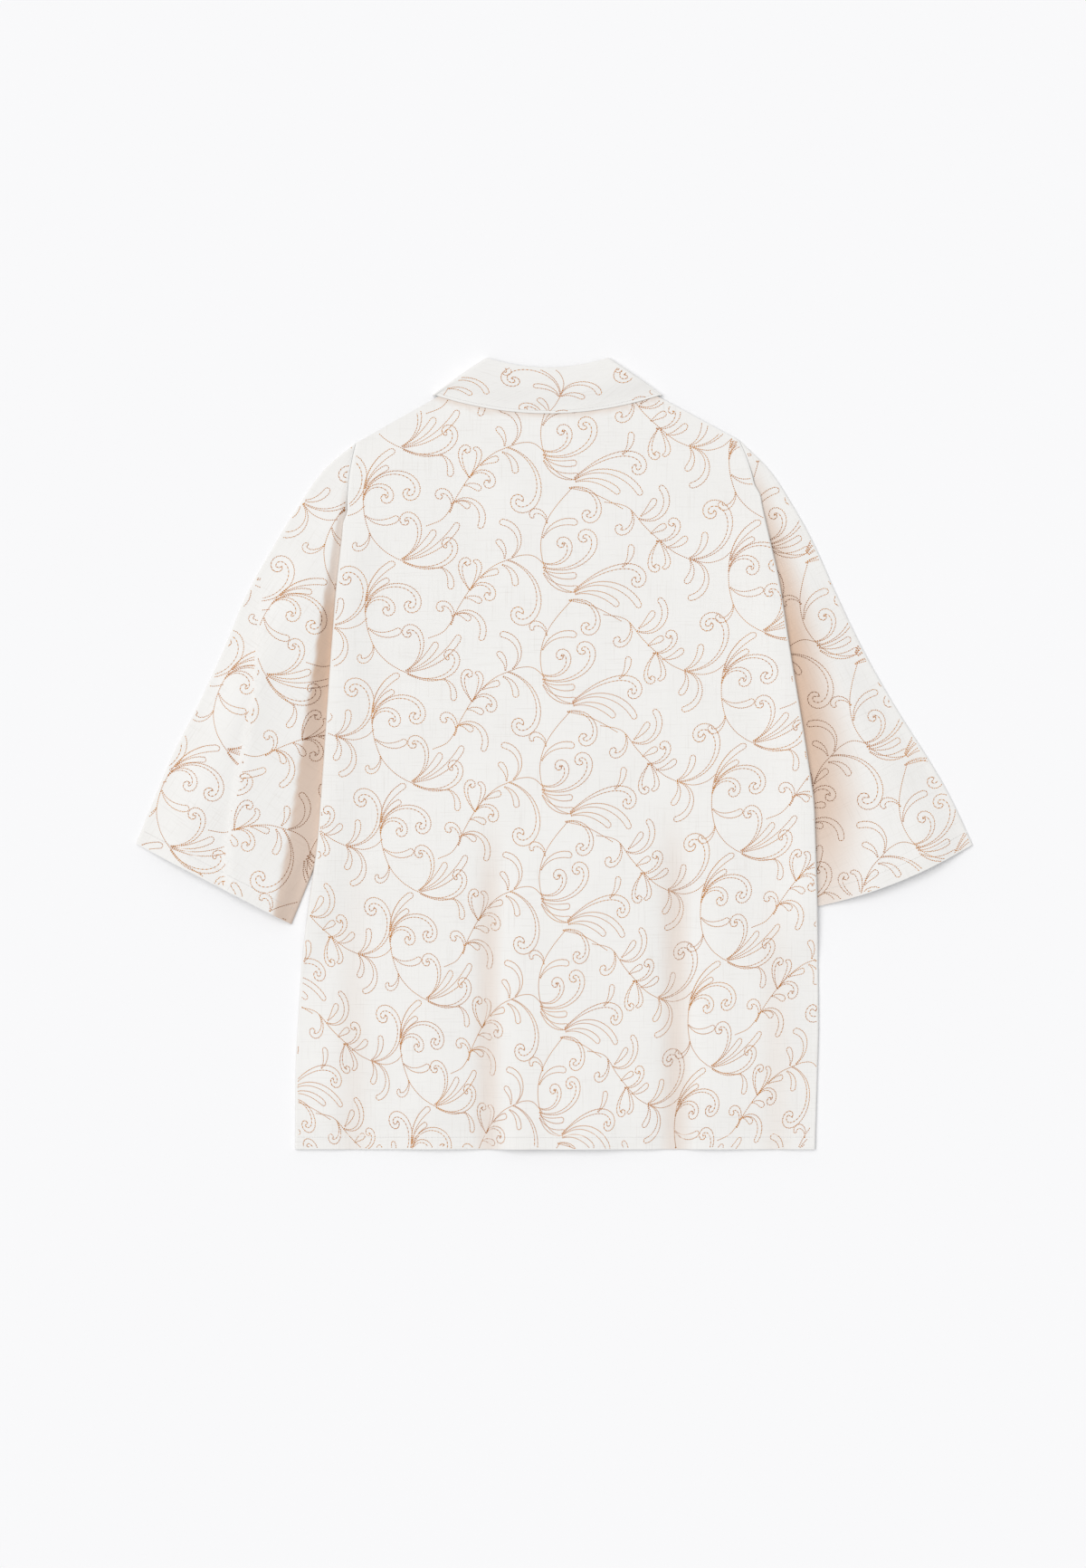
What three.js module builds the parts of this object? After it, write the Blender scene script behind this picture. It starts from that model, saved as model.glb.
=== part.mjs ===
// A linen tunic shirt lying face down on a flat surface: the back and the turned-down
// collar are on top, the fronts and their buttons are underneath, and the wide
// three-quarter sleeves run out from under the sides of the body.
//
// Millimetres. +X runs across the garment, +Y towards the collar, +Z up from the
// surface that it lies on. The origin is the middle of the footprint.

import * as THREE from "three";

// ---- driving sizes -------------------------------------------------------------

const CLOTH = 1.2; // thickness of every cloth wall
const SEAM_GAP = 0.3; // space that keeps neighbouring pieces apart
const ARMHOLE_GAP = 0.7; // the same along the curved armhole, where facets need room
const LAYER = CLOTH + SEAM_GAP; // one cloth laid on another

const HEM_Y = -436.5;
const NECK_HALF_WIDTH = 88; // centre back to the side of the neck seam
const NECK_STEPS = 5; // grid columns from the centre to the neck point
const SHOULDER_STEPS = 7; // grid columns from the neck point to the armhole
const COLLAR_CENTRE_X = -7.5;
const HEM_CENTRE_X = 2.5;

// Heights of the seam, ridge and outer edge of the collar, as Y at the centre back,
// at the side of the neck and at the centre front, with their half widths.
const COLLAR_SEAM = { halfWidth: NECK_HALF_WIDTH, back: 387, side: 414, front: 326, power: 2 };
const COLLAR_RIDGE = { halfWidth: 66, back: 426, side: 436.5, front: 352, power: 1.5 };
const COLLAR_EDGE = { halfWidth: 123, back: 376, side: 396, front: 273, power: 1.2 };
const COLLAR_POINT_SPREAD = 0.3; // how far each collar point stands off the centre front
const COLLAR_NECK_HOLLOW = 1.4; // half the space inside the flattened neck
const COLLAR_MID_Z = 2 * CLOTH + SEAM_GAP + COLLAR_NECK_HOLLOW;
const COLLAR_FOLD = 3; // cloth at the ridge, where the stand turns into the fall
const COLLAR_TURN_STEPS = 4; // facets round each side of the neck
const COLLAR_END_GAP = 0.012; // half the space between the two front ends

const SIDE_LIFT = 3.3; // body cloth over a sleeve that lies under it
const OUTER_FRONT = { lift: 2.5, slope: 40 }; // right front, over the buttons
const UNDER_FRONT = { lift: 4.0, slope: 50 }; // left front, over the right one
const NECK_LIFT = LAYER; // fronts over the front half of the collar

// Distances over which the body rises and falls: each starts at near and ends at far.
const SLEEVE_SLOPE = { near: 28, far: 66 }; // from the inner edge of a sleeve
const CUFF_SLOPE = { near: 12, far: 72 }; // past the inner corner of a cuff
const COLLAR_SLOPE = { near: 26, far: 66 }; // past the outer edge of the collar
const PLACKET_HALF_WIDTH = 20; // where the overlapped fronts are level
const BACK_CENTRE_SLOPE = { near: 36, far: 92 }; // the back over that overlap
const SHOULDER_SLOPE = 45;
const SIDE_SLOPE = 45;
const HEM_SLOPE = 50;
const NECK_SLOPE = 40;

const SLEEVE_EDGE = 3.0; // height of a sleeve at its folded edges
const SLEEVE_CROWN = 3.3; // how much the middle of a sleeve stands above them
const SLEEVE_ROUND = 0.25; // share of the width in which the upper side rises
const SLEEVE_INNER_ROUND = 0.08; // the same at the inner edge
const SLEEVE_DIVE = { before: 52, after: 8 }; // run in which it goes under the body
const SLEEVE_VALLEY = { near: 6, far: 52 }; // the slope beside the body
const SLEEVE_ACROSS = 11;
const SLEEVE_ALONG = 15;

const BUTTON = { diameter: 11, thickness: 2.2, holeRadius: 1, holeSpread: 1.6 };
const BUTTON_SIDES = 20;
const HOLE_SIDES = 8;
const BUTTON_YS = [311, 201, 91, -19, -129, -239, -349];

const JOIN_BLEND = 8; // half the run in which the armhole becomes the side fold
const UNDERARM_RUN = 75; // height over which the front widens below the underarm
const ROW_LEVELLING = 4; // how soon the rows lose the slope of the shoulder

// Rows of the body's grid, as Y at its sides from the shoulder tip to the hem.
const BODY_ROWS = [
  345, 323, 303, 282, 258, 230, 200, 170, 140, 118, 98, 76, 52, 28,
  -5, -40, -76, -110, -145, -182, -222, -265, -315, -378, HEM_Y,
];

// The soft vertical folds of the back, each a ridge (lift > 0) or a trough (lift < 0).
const BACK_FOLDS = [
  { x: -68, lift: -1.2, halfWidth: 30, top: -50 },
  { x: 131, lift: -1.2, halfWidth: 32, top: -50 },
  { x: -150, lift: 0.3, halfWidth: 55, top: 80 },
  { x: 180, lift: 0.3, halfWidth: 45, top: 40 },
];
const FOLD_RUN_IN = 160; // length over which a fold starts

// Each side of the garment. edge: the side of the body from where the sleeve dives
// under it down to the hem. outer: the upper edge of the sleeve from the shoulder tip
// to the cuff. rimBow and cuffBow bend the armhole and the cuff.
const LEFT = {
  sign: -1,
  tip: [-219.5, 344],
  underarm: [-172.5, 103],
  cuffInner: [-290.5, -188],
  rimBow: -28,
  cuffBow: 0,
  join: 262,
  edge: [
    { x: -233, y: 256 },
    { x: -241.5, y: 181 },
    { x: -248.5, y: 91 },
    { x: -254.5, y: 0 },
    { x: -261.5, y: -97 },
    { x: -274.5, y: -187 },
    { x: -280, y: -240 },
    { x: -286, y: -340 },
    { x: -286.5, y: HEM_Y },
  ],
  outer: [
    { x: -219.5, y: 344 },
    { x: -255.5, y: 313 },
    { x: -283.5, y: 273 },
    { x: -308.5, y: 233 },
    { x: -341.5, y: 173 },
    { x: -366.5, y: 113 },
    { x: -394.5, y: 53 },
    { x: -424.5, y: -7 },
    { x: -462.5, y: -99 },
  ],
};
const RIGHT = {
  sign: 1,
  tip: [204.5, 347],
  underarm: [149.5, 103],
  cuffInner: [281.5, -170],
  rimBow: 43,
  cuffBow: 9,
  join: 292,
  edge: [
    { x: 227, y: 286 },
    { x: 248.5, y: 194 },
    { x: 261.5, y: 110 },
    { x: 274.5, y: 33 },
    { x: 287.5, y: -52 },
    { x: 291, y: -168 },
    { x: 292.5, y: -300 },
    { x: 288.5, y: HEM_Y },
  ],
  outer: [
    { x: 204.5, y: 347 },
    { x: 238.5, y: 313 },
    { x: 264.5, y: 273 },
    { x: 286.5, y: 233 },
    { x: 313.5, y: 173 },
    { x: 342.5, y: 113 },
    { x: 376.5, y: 53 },
    { x: 414.5, y: -7 },
    { x: 437.5, y: -47 },
    { x: 462.5, y: -100 },
  ],
};

// ---- small helpers -------------------------------------------------------------

const { clamp, lerp, smoothstep } = THREE.MathUtils;

function sideOf(x) {
  return x < COLLAR_CENTRE_X ? LEFT : RIGHT;
}

// Straight interpolation of x against y in a table whose rows run down in y.
function tableX(table, y) {
  const found = table.findIndex((row) => row.y <= y);
  const below = clamp(found < 0 ? table.length - 1 : found, 1, table.length - 1);
  const from = table[below - 1];
  const to = table[below];
  return lerp(from.x, to.x, clamp((from.y - y) / (from.y - to.y), 0, 1));
}

// Distance from a point to the segment between two [x, y] points.
function distanceToSegment(x, y, a, b) {
  const dx = b[0] - a[0];
  const dy = b[1] - a[1];
  const along = clamp(((x - a[0]) * dx + (y - a[1]) * dy) / (dx * dx + dy * dy), 0, 1);
  return Math.hypot(x - a[0] - along * dx, y - a[1] - along * dy);
}

// A closed mesh from points and triangles, turned so that its faces point out.
function closedGeometry(points, triangles) {
  const corner = new THREE.Vector3();
  const next = new THREE.Vector3();
  const last = new THREE.Vector3();
  let volume = 0;
  for (const [a, b, c] of triangles) {
    corner.fromArray(points[a]);
    volume += corner.dot(next.fromArray(points[b]).cross(last.fromArray(points[c])));
  }
  const outward = volume < 0 ? triangles.map(([a, b, c]) => [a, c, b]) : triangles;
  const geometry = new THREE.BufferGeometry();
  geometry.setAttribute("position", new THREE.Float32BufferAttribute(points.flat(), 3));
  geometry.setIndex(outward.flat());
  geometry.computeVertexNormals();
  return geometry;
}

function quad(triangles, a, b, c, d) {
  triangles.push([a, b, c], [a, c, d]);
}

// A cloth panel: a grid of lower points [x, y, z] with a second one CLOTH above it,
// closed round its border.
function panelWall(rows) {
  const down = rows.length;
  const across = rows[0].length;
  const lower = rows.flat();
  const points = [...lower, ...lower.map(([x, y, z]) => [x, y, z + CLOTH])];
  const top = lower.length;
  const triangles = [];
  for (let i = 0; i + 1 < down; i += 1) {
    for (let j = 0; j + 1 < across; j += 1) {
      const a = i * across + j;
      const b = a + across;
      quad(triangles, a, a + 1, b + 1, b);
      quad(triangles, top + a, top + b, top + b + 1, top + a + 1);
    }
  }
  const border = [];
  for (let j = 0; j < across - 1; j += 1) border.push(j);
  for (let i = 0; i < down - 1; i += 1) border.push(i * across + across - 1);
  for (let j = across - 1; j > 0; j -= 1) border.push((down - 1) * across + j);
  for (let i = down - 1; i > 0; i -= 1) border.push(i * across);
  border.forEach((a, k) => {
    const b = border[(k + 1) % border.length];
    quad(triangles, a, top + a, top + b, b);
  });
  return closedGeometry(points, triangles);
}

// ---- plan of the body ----------------------------------------------------------

// Where the armhole runs at height y, from the shoulder tip to the underarm.
function armholeX(side, y) {
  const share = clamp((side.tip[1] - y) / (side.tip[1] - side.underarm[1]), 0, 1);
  const straight = lerp(side.tip[0], side.underarm[0], share);
  return straight + side.rimBow * 4 * share * (1 - share);
}

function backEdgeX(side, y) {
  const seam = armholeX(side, y) - side.sign * ARMHOLE_GAP;
  const fold = tableX(side.edge, y);
  return lerp(fold, seam, smoothstep(y, side.join - JOIN_BLEND, side.join + JOIN_BLEND));
}

// The front keeps the armhole seam down to the underarm, then widens to the side.
function frontEdgeX(side, y) {
  const seam = armholeX(side, y) - side.sign * ARMHOLE_GAP;
  return lerp(seam, tableX(side.edge, y), clamp((side.underarm[1] - y) / UNDERARM_RUN, 0, 1));
}

// Y of the panel's top edge at a column: the neck seam, then the shoulder.
function topEdgeY(u, neckY) {
  const side = u < 0 ? LEFT : RIGHT;
  const neckShare = Math.abs(u) / NECK_U;
  if (neckShare <= 1) return lerp(neckY, COLLAR_SEAM.side, neckShare ** 2) - 2 * SEAM_GAP;
  const share = (Math.abs(u) - NECK_U) / (1 - NECK_U);
  return lerp(COLLAR_SEAM.side - 2 * SEAM_GAP, side.tip[1], share);
}

const SHOULDER_HALF_WIDTH = (RIGHT.tip[0] - LEFT.tip[0]) / 2;
const NECK_U = NECK_HALF_WIDTH / SHOULDER_HALF_WIDTH;

// Columns from the left edge (-1) to the right one (1); the neck has its own steps.
function columns() {
  const right = [];
  for (let k = 1; k <= NECK_STEPS; k += 1) right.push((NECK_U * k) / NECK_STEPS);
  for (let k = 1; k <= SHOULDER_STEPS; k += 1) {
    right.push(lerp(NECK_U, 1, k / SHOULDER_STEPS));
  }
  return [...right.map((u) => -u).reverse(), 0, ...right];
}

function rowY(side, share) {
  return lerp(side.tip[1], HEM_Y, share);
}

function columnX(u, share, edgeX) {
  const left = backEdgeX(LEFT, rowY(LEFT, share));
  const right = backEdgeX(RIGHT, rowY(RIGHT, share));
  const plain = lerp(left, right, (u + 1) / 2);
  if (Math.abs(u) <= NECK_U) return plain;
  const side = u < 0 ? LEFT : RIGHT;
  const inner = lerp(left, right, (side.sign * NECK_U + 1) / 2);
  return lerp(inner, edgeX(side, rowY(side, share)), (Math.abs(u) - NECK_U) / (1 - NECK_U));
}

function panelGrid(us, neckY, edgeX, heightAt) {
  return BODY_ROWS.map((height) => {
    const share = (BODY_ROWS[0] - height) / (BODY_ROWS[0] - HEM_Y);
    return us.map((u) => {
      const side = u < 0 ? LEFT : RIGHT;
      const x = columnX(u, share, edgeX);
      const aboveTip = topEdgeY(u, neckY) - side.tip[1];
      const y = rowY(side, share) + aboveTip * (1 - share) ** ROW_LEVELLING;
      return [x, y, heightAt(x, y)];
    });
  });
}

// ---- heights of the body -------------------------------------------------------

function centreX(y) {
  return lerp(COLLAR_CENTRE_X, HEM_CENTRE_X, (345 - y) / (345 - HEM_Y));
}

// 1 over a sleeve that lies under the body, falling to 0 inside it.
function overSleeve(x, y) {
  const side = sideOf(x);
  const [ux, uy] = side.underarm;
  const [cx, cy] = side.cuffInner;
  const across = (x - ux) * (cy - uy) - (y - uy) * (cx - ux);
  const beside = side.sign * (x - armholeX(side, y)) > 0;
  if (y < uy ? across * side.sign < 0 : beside) {
    return 1 - smoothstep(cy - y, CUFF_SLOPE.near, CUFF_SLOPE.far);
  }
  const away = distanceToSegment(x, y, side.underarm, side.cuffInner);
  return 1 - smoothstep(away, SLEEVE_SLOPE.near, SLEEVE_SLOPE.far);
}

// 1 over the front half of the collar, falling to 0 below it.
function overCollar(x, y) {
  const reach = Math.abs(x - COLLAR_CENTRE_X) / COLLAR_EDGE.halfWidth;
  const share = clamp((reach - COLLAR_POINT_SPREAD) / (1 - COLLAR_POINT_SPREAD), 0, 1);
  const edgeY = lerp(COLLAR_EDGE.front, COLLAR_EDGE.side, share ** COLLAR_EDGE.power);
  return 1 - smoothstep(edgeY - y, COLLAR_SLOPE.near, COLLAR_SLOPE.far);
}

function frontHeight({ lift, slope }) {
  return (x, y) => {
    const past = Math.abs(x - centreX(y)) - PLACKET_HALF_WIDTH;
    const placket = lift * (1 - smoothstep(past, 0, slope));
    return Math.max(placket, SIDE_LIFT * overSleeve(x, y), NECK_LIFT * overCollar(x, y));
  };
}

function foldLift(x, y) {
  return BACK_FOLDS.reduce((sum, fold) => {
    const across = Math.exp(-(((x - fold.x) / fold.halfWidth) ** 2));
    const length = smoothstep(fold.top - y, 0, FOLD_RUN_IN);
    return sum + fold.lift * across * length;
  }, 0);
}

// The back lies on the fronts at its shoulders, hem and lower sides and stands
// clear of them elsewhere, with a low rise over the buttoned fronts.
function backHeight(x, y) {
  const side = sideOf(x);
  const neckPoint = [COLLAR_CENTRE_X + side.sign * NECK_HALF_WIDTH, COLLAR_SEAM.side];
  const fromShoulder = distanceToSegment(x, y, neckPoint, side.tip);
  const fromSide = side.sign * (backEdgeX(side, y) - x);
  const besideSleeve = y > side.underarm[1] ? 1 : overSleeve(x, y);
  const shoulderRise = smoothstep(fromShoulder, 0, SHOULDER_SLOPE);
  const sideRise = 1 - (1 - smoothstep(fromSide, 0, SIDE_SLOPE)) * (1 - besideSleeve);
  const raised = shoulderRise * sideRise * smoothstep(y - HEM_Y, 0, HEM_SLOPE);
  const fromCentre = Math.abs(x - centreX(y));
  const centre = 1 - smoothstep(fromCentre, BACK_CENTRE_SLOPE.near, BACK_CENTRE_SLOPE.far);
  const placket = centre * smoothstep(COLLAR_SEAM.back - y, 0, NECK_SLOPE);
  const either = raised + placket - raised * placket;
  const neck = NECK_LIFT * overCollar(x, y) * (1 - shoulderRise);
  return LAYER + SIDE_LIFT * either + placket + neck + raised * foldLift(x, y);
}

// ---- sleeves -------------------------------------------------------------------

function sleevePlan(side) {
  const outer = new THREE.SplineCurve(side.outer.map(({ x, y }) => new THREE.Vector2(x, y)));
  return (across, along) => {
    const edge = outer.getPointAt(along);
    const innerX = lerp(side.underarm[0], side.cuffInner[0], along);
    const innerY = lerp(side.underarm[1], side.cuffInner[1], along);
    const bow = 4 * across * (1 - across);
    const rim = side.rimBow * (1 - smoothstep(along, 0, 0.5)) * bow;
    const cuff = side.cuffBow * smoothstep(along, 0.6, 1) * bow;
    return [lerp(edge.x, innerX, across) + rim, lerp(edge.y, innerY, across) - cuff];
  };
}

// Upper surface: low where it dives under the body, crowned beyond it.
function sleeveTop(side, across, x, y) {
  const clear = side.sign * (x - backEdgeX(side, y));
  const dive = smoothstep(side.join - y, -SLEEVE_DIVE.before, SLEEVE_DIVE.after);
  const valley = 1 - smoothstep(clear, SLEEVE_VALLEY.near, SLEEVE_VALLEY.far);
  const beyond = 1 - dive * valley;
  const rounding = smoothstep(across, 0, SLEEVE_ROUND);
  const innerRounding = smoothstep(1 - across, 0, SLEEVE_INNER_ROUND);
  return SLEEVE_EDGE + SLEEVE_CROWN * beyond * rounding * innerRounding;
}

// One ring of the sleeve, as points round its outside (inset 0) or its inside.
function sleeveRing(side, plan, along, inset) {
  const [ax, ay] = plan(0, along);
  const [bx, by] = plan(1, along);
  const margin = (CLOTH + inset) / Math.hypot(bx - ax, by - ay);
  const across = [];
  for (let i = 0; i <= SLEEVE_ACROSS; i += 1) {
    across.push(lerp(margin, 1 - margin, i / SLEEVE_ACROSS));
  }
  const fold = inset / Math.hypot(bx - ax, by - ay);
  const upper = across.map((a) => {
    const [x, y] = plan(a, along);
    return [x, y, sleeveTop(side, a, x, y) - inset];
  });
  const lower = across.map((a) => [...plan(a, along), inset]).reverse();
  const middle = SLEEVE_EDGE / 2;
  return [[...plan(fold, along), middle], ...upper, [...plan(1 - fold, along), middle], ...lower];
}

// A tube of cloth: an outer skin, an inner one and a rim round each open end.
function sleeveWall(side) {
  const plan = sleevePlan(side);
  const rings = [];
  for (const inset of [0, CLOTH]) {
    for (let k = 0; k <= SLEEVE_ALONG; k += 1) {
      rings.push(sleeveRing(side, plan, k / SLEEVE_ALONG, inset));
    }
  }
  const round = rings[0].length;
  const at = (ring, i) => ring * round + (i % round);
  const triangles = [];
  const inner = SLEEVE_ALONG + 1;
  for (let i = 0; i < round; i += 1) {
    for (let k = 0; k < SLEEVE_ALONG; k += 1) {
      quad(triangles, at(k, i), at(k, i + 1), at(k + 1, i + 1), at(k + 1, i));
      const j = inner + k;
      quad(triangles, at(j, i), at(j + 1, i), at(j + 1, i + 1), at(j, i + 1));
    }
    quad(triangles, at(0, i), at(inner, i), at(inner, i + 1), at(0, i + 1));
    const end = SLEEVE_ALONG;
    quad(triangles, at(end, i), at(end, i + 1), at(inner + end, i + 1), at(inner + end, i));
  }
  return closedGeometry(rings.flat(), triangles);
}

// ---- collar --------------------------------------------------------------------

// A line round the flattened collar at reach 0 (centre) to 1 (side of the neck).
function collarLine(line, reach, front) {
  const spread = front && line === COLLAR_EDGE ? COLLAR_POINT_SPREAD : 0;
  const x = line.halfWidth * lerp(spread, 1, reach);
  const power = front ? line.power : 2;
  return [x, lerp(front ? line.front : line.back, line.side, reach ** power)];
}

// Stations from the left front end, round the back, to the right front end.
function collarStations() {
  const half = [];
  for (let k = 0; k <= NECK_STEPS; k += 1) {
    half.push({ reach: k / NECK_STEPS, turn: 0, front: false });
  }
  for (let k = 1; k < COLLAR_TURN_STEPS; k += 1) {
    half.push({ reach: 1, turn: (Math.PI * k) / COLLAR_TURN_STEPS, front: false });
  }
  for (let k = NECK_STEPS; k > 0; k -= 1) {
    half.push({ reach: k / NECK_STEPS, turn: Math.PI, front: true });
  }
  half.push({ reach: COLLAR_END_GAP, turn: Math.PI, front: true });
  const mirrored = half.slice(1).reverse();
  return [
    ...mirrored.map((station) => ({ ...station, sign: -1 })),
    ...half.map((station) => ({ ...station, sign: 1 })),
  ];
}

// The folded section of the collar: up the stand, over the ridge, down the fall
// and back underneath. Each entry is a place on the way and a distance out.
function collarSection() {
  const fallIn = CLOTH + SEAM_GAP;
  const fallOut = 2 * CLOTH + SEAM_GAP;
  return [
    { from: "ridge", to: "seam", share: 1, out: 0 },
    { from: "ridge", to: "seam", share: 0.5, out: 0 },
    { from: "ridge", to: "seam", step: CLOTH, out: 0 },
    { from: "ridge", to: "seam", share: 0, out: fallIn / 2 + CLOTH / 2 },
    { from: "ridge", to: "edge", step: CLOTH, out: fallOut },
    { from: "ridge", to: "edge", share: 0.5, out: fallOut },
    { from: "ridge", to: "edge", share: 1, out: fallOut },
    { from: "ridge", to: "edge", share: 1, out: fallIn },
    { from: "ridge", to: "edge", share: 0.5, out: fallIn },
    { from: "ridge", to: "edge", step: COLLAR_FOLD, out: fallIn },
    { from: "ridge", to: "seam", step: COLLAR_FOLD, out: CLOTH },
    { from: "ridge", to: "seam", share: 0.5, out: CLOTH },
    { from: "ridge", to: "seam", share: 1, out: CLOTH },
  ];
}

function collarPoint(station, place) {
  const lines = {
    seam: collarLine(COLLAR_SEAM, station.reach, station.front),
    ridge: collarLine(COLLAR_RIDGE, station.reach, station.front),
    edge: collarLine(COLLAR_EDGE, station.reach, station.front),
  };
  const [ax, ay] = lines[place.from];
  const [bx, by] = lines[place.to];
  const share = place.step ? place.step / Math.hypot(bx - ax, by - ay) : place.share;
  const radius = COLLAR_NECK_HOLLOW + place.out;
  const x = lerp(ax, bx, share) + Math.sin(station.turn) * radius;
  const z = COLLAR_MID_Z + Math.cos(station.turn) * radius;
  return [COLLAR_CENTRE_X + station.sign * x, lerp(ay, by, share), z];
}

function collarWall() {
  const section = collarSection();
  const stations = collarStations();
  const points = stations.flatMap((station) => section.map((p) => collarPoint(station, p)));
  const round = section.length;
  const triangles = [];
  for (let k = 0; k + 1 < stations.length; k += 1) {
    for (let i = 0; i < round; i += 1) {
      const next = (i + 1) % round;
      const a = k * round;
      const b = a + round;
      quad(triangles, a + i, a + next, b + next, b + i);
    }
  }
  // Each end of the folded band is closed by triangles between its two walls.
  const caps = [
    [0, 12, 1], [1, 12, 11], [1, 11, 2], [2, 11, 10], [2, 10, 3], [3, 10, 9],
    [3, 9, 4], [4, 9, 5], [5, 9, 8], [5, 8, 6], [6, 8, 7],
  ];
  const last = (stations.length - 1) * round;
  for (const [a, b, c] of caps) {
    triangles.push([a, b, c], [last + a, last + c, last + b]);
  }
  return closedGeometry(points, triangles);
}

// ---- buttons -------------------------------------------------------------------

function circle(x, y, radius, sides) {
  return Array.from({ length: sides }, (_, k) => {
    const angle = (2 * Math.PI * k) / sides;
    return new THREE.Vector2(x + radius * Math.cos(angle), y + radius * Math.sin(angle));
  });
}

// A flat disc with four sewing holes.
function buttonSolid() {
  const disc = new THREE.Shape(circle(0, 0, BUTTON.diameter / 2, BUTTON_SIDES));
  const spread = BUTTON.holeSpread;
  for (const [x, y] of [[-spread, -spread], [-spread, spread], [spread, -spread], [spread, spread]]) {
    disc.holes.push(new THREE.Path(circle(x, y, BUTTON.holeRadius, HOLE_SIDES)));
  }
  return new THREE.ExtrudeGeometry(disc, { depth: BUTTON.thickness, bevelEnabled: false });
}

// ---- the garment ---------------------------------------------------------------

const linen = new THREE.MeshStandardMaterial({ color: 0xf6f2ee, roughness: 0.9, metalness: 0 });
const shell = new THREE.MeshStandardMaterial({ color: 0xe9e2d6, roughness: 0.4, metalness: 0 });

function named(name, geometry, material) {
  const mesh = new THREE.Mesh(geometry, material.clone());
  mesh.name = name;
  return mesh;
}

function backPanel() {
  const rows = panelGrid(columns(), COLLAR_SEAM.back, backEdgeX, backHeight);
  return named("back", panelWall(rows), linen);
}

// A front runs from its side to one column past the centre, so that the two overlap.
function frontPanel(name, side, placket) {
  const overlapU = NECK_U / NECK_STEPS;
  const us = columns().filter((u) => side.sign * u > -1.5 * overlapU);
  const rows = panelGrid(us, COLLAR_SEAM.front, frontEdgeX, frontHeight(placket));
  return named(name, panelWall(rows), linen);
}

const shirt = new THREE.Group();
shirt.add(backPanel());
shirt.add(frontPanel("front_left", LEFT, UNDER_FRONT));
shirt.add(frontPanel("front_right", RIGHT, OUTER_FRONT));
shirt.add(named("sleeve_left", sleeveWall(LEFT), linen));
shirt.add(named("sleeve_right", sleeveWall(RIGHT), linen));
shirt.add(named("collar", collarWall(), linen));
BUTTON_YS.forEach((y, k) => {
  const button = named(`button_${k + 1}`, buttonSolid(), shell);
  button.position.set(centreX(y), y, 0);
  shirt.add(button);
});

export default shirt;
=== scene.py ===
"""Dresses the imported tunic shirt: thin linen shells over its solids, scroll-leaf
embroidery made of single stitches, seams, hems and buttons, on a plain lit floor.

The shirt lies face down. Lengths inside the shape functions are millimetres, in the
frame of the solids, and `to_object` turns them into metres.
"""

import math
from collections import namedtuple
from functools import partial

import bpy
import numpy as np
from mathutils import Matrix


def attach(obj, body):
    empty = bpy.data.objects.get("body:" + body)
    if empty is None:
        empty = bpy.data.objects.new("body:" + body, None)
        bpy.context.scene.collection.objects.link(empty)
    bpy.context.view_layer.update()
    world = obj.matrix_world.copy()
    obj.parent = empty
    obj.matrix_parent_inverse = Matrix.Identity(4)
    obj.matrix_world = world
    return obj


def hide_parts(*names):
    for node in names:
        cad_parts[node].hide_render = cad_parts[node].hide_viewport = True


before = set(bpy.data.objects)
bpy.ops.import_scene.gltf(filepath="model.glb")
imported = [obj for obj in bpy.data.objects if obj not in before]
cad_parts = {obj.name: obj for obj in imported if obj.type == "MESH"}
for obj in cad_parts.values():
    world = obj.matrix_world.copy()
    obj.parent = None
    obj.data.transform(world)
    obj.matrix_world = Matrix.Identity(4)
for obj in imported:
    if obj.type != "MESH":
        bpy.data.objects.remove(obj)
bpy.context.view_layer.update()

bl_info = {
    "name": "Embroidered tunic shirt",
    "version": (1, 0, 0),
    "blender": (4, 5, 0),
    "location": "View3D > Sidebar > Shirt",
    "description": "Builds the linen, embroidery, seams and buttons of a tunic shirt",
    "category": "Object",
}

MM = 0.001
BODY = "root"

# ---- sizes of the garment, as its solids have them --------------------------------

SEAM_GAP = 0.3
HEM_Y = -436.5
SHOULDER_Y = 345
COLLAR_CENTRE_X = -7.5
HEM_CENTRE_X = 2.5
NECK_HALF_WIDTH = 88
COLLAR_MID_Z = 4.1
NECK_HOLLOW = 1.4
COLLAR_POINT_SPREAD = 0.3
COLLAR_END_GAP = 0.012
FRONT_CENTRE_OVERLAP = 17.6
PLACKET_HALF_WIDTH = 20
UNDERARM_RUN = 75
BUTTON_YS = (311, 201, 91, -19, -129, -239, -349)

# A line round the flattened collar, from its distances to the middle of the garment: half
# its width, and its heights at the centre back, the side of the neck and the centre front.
# Along the front it bends with the power given.
Line = namedtuple("Line", "half_width back side front power")
COLLAR_SEAM = Line(88, 387, 414, 326, 2)
COLLAR_RIDGE = Line(66, 426, 436.5, 352, 1.5)
COLLAR_EDGE = Line(123, 376, 396, 273, 1.2)

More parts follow.
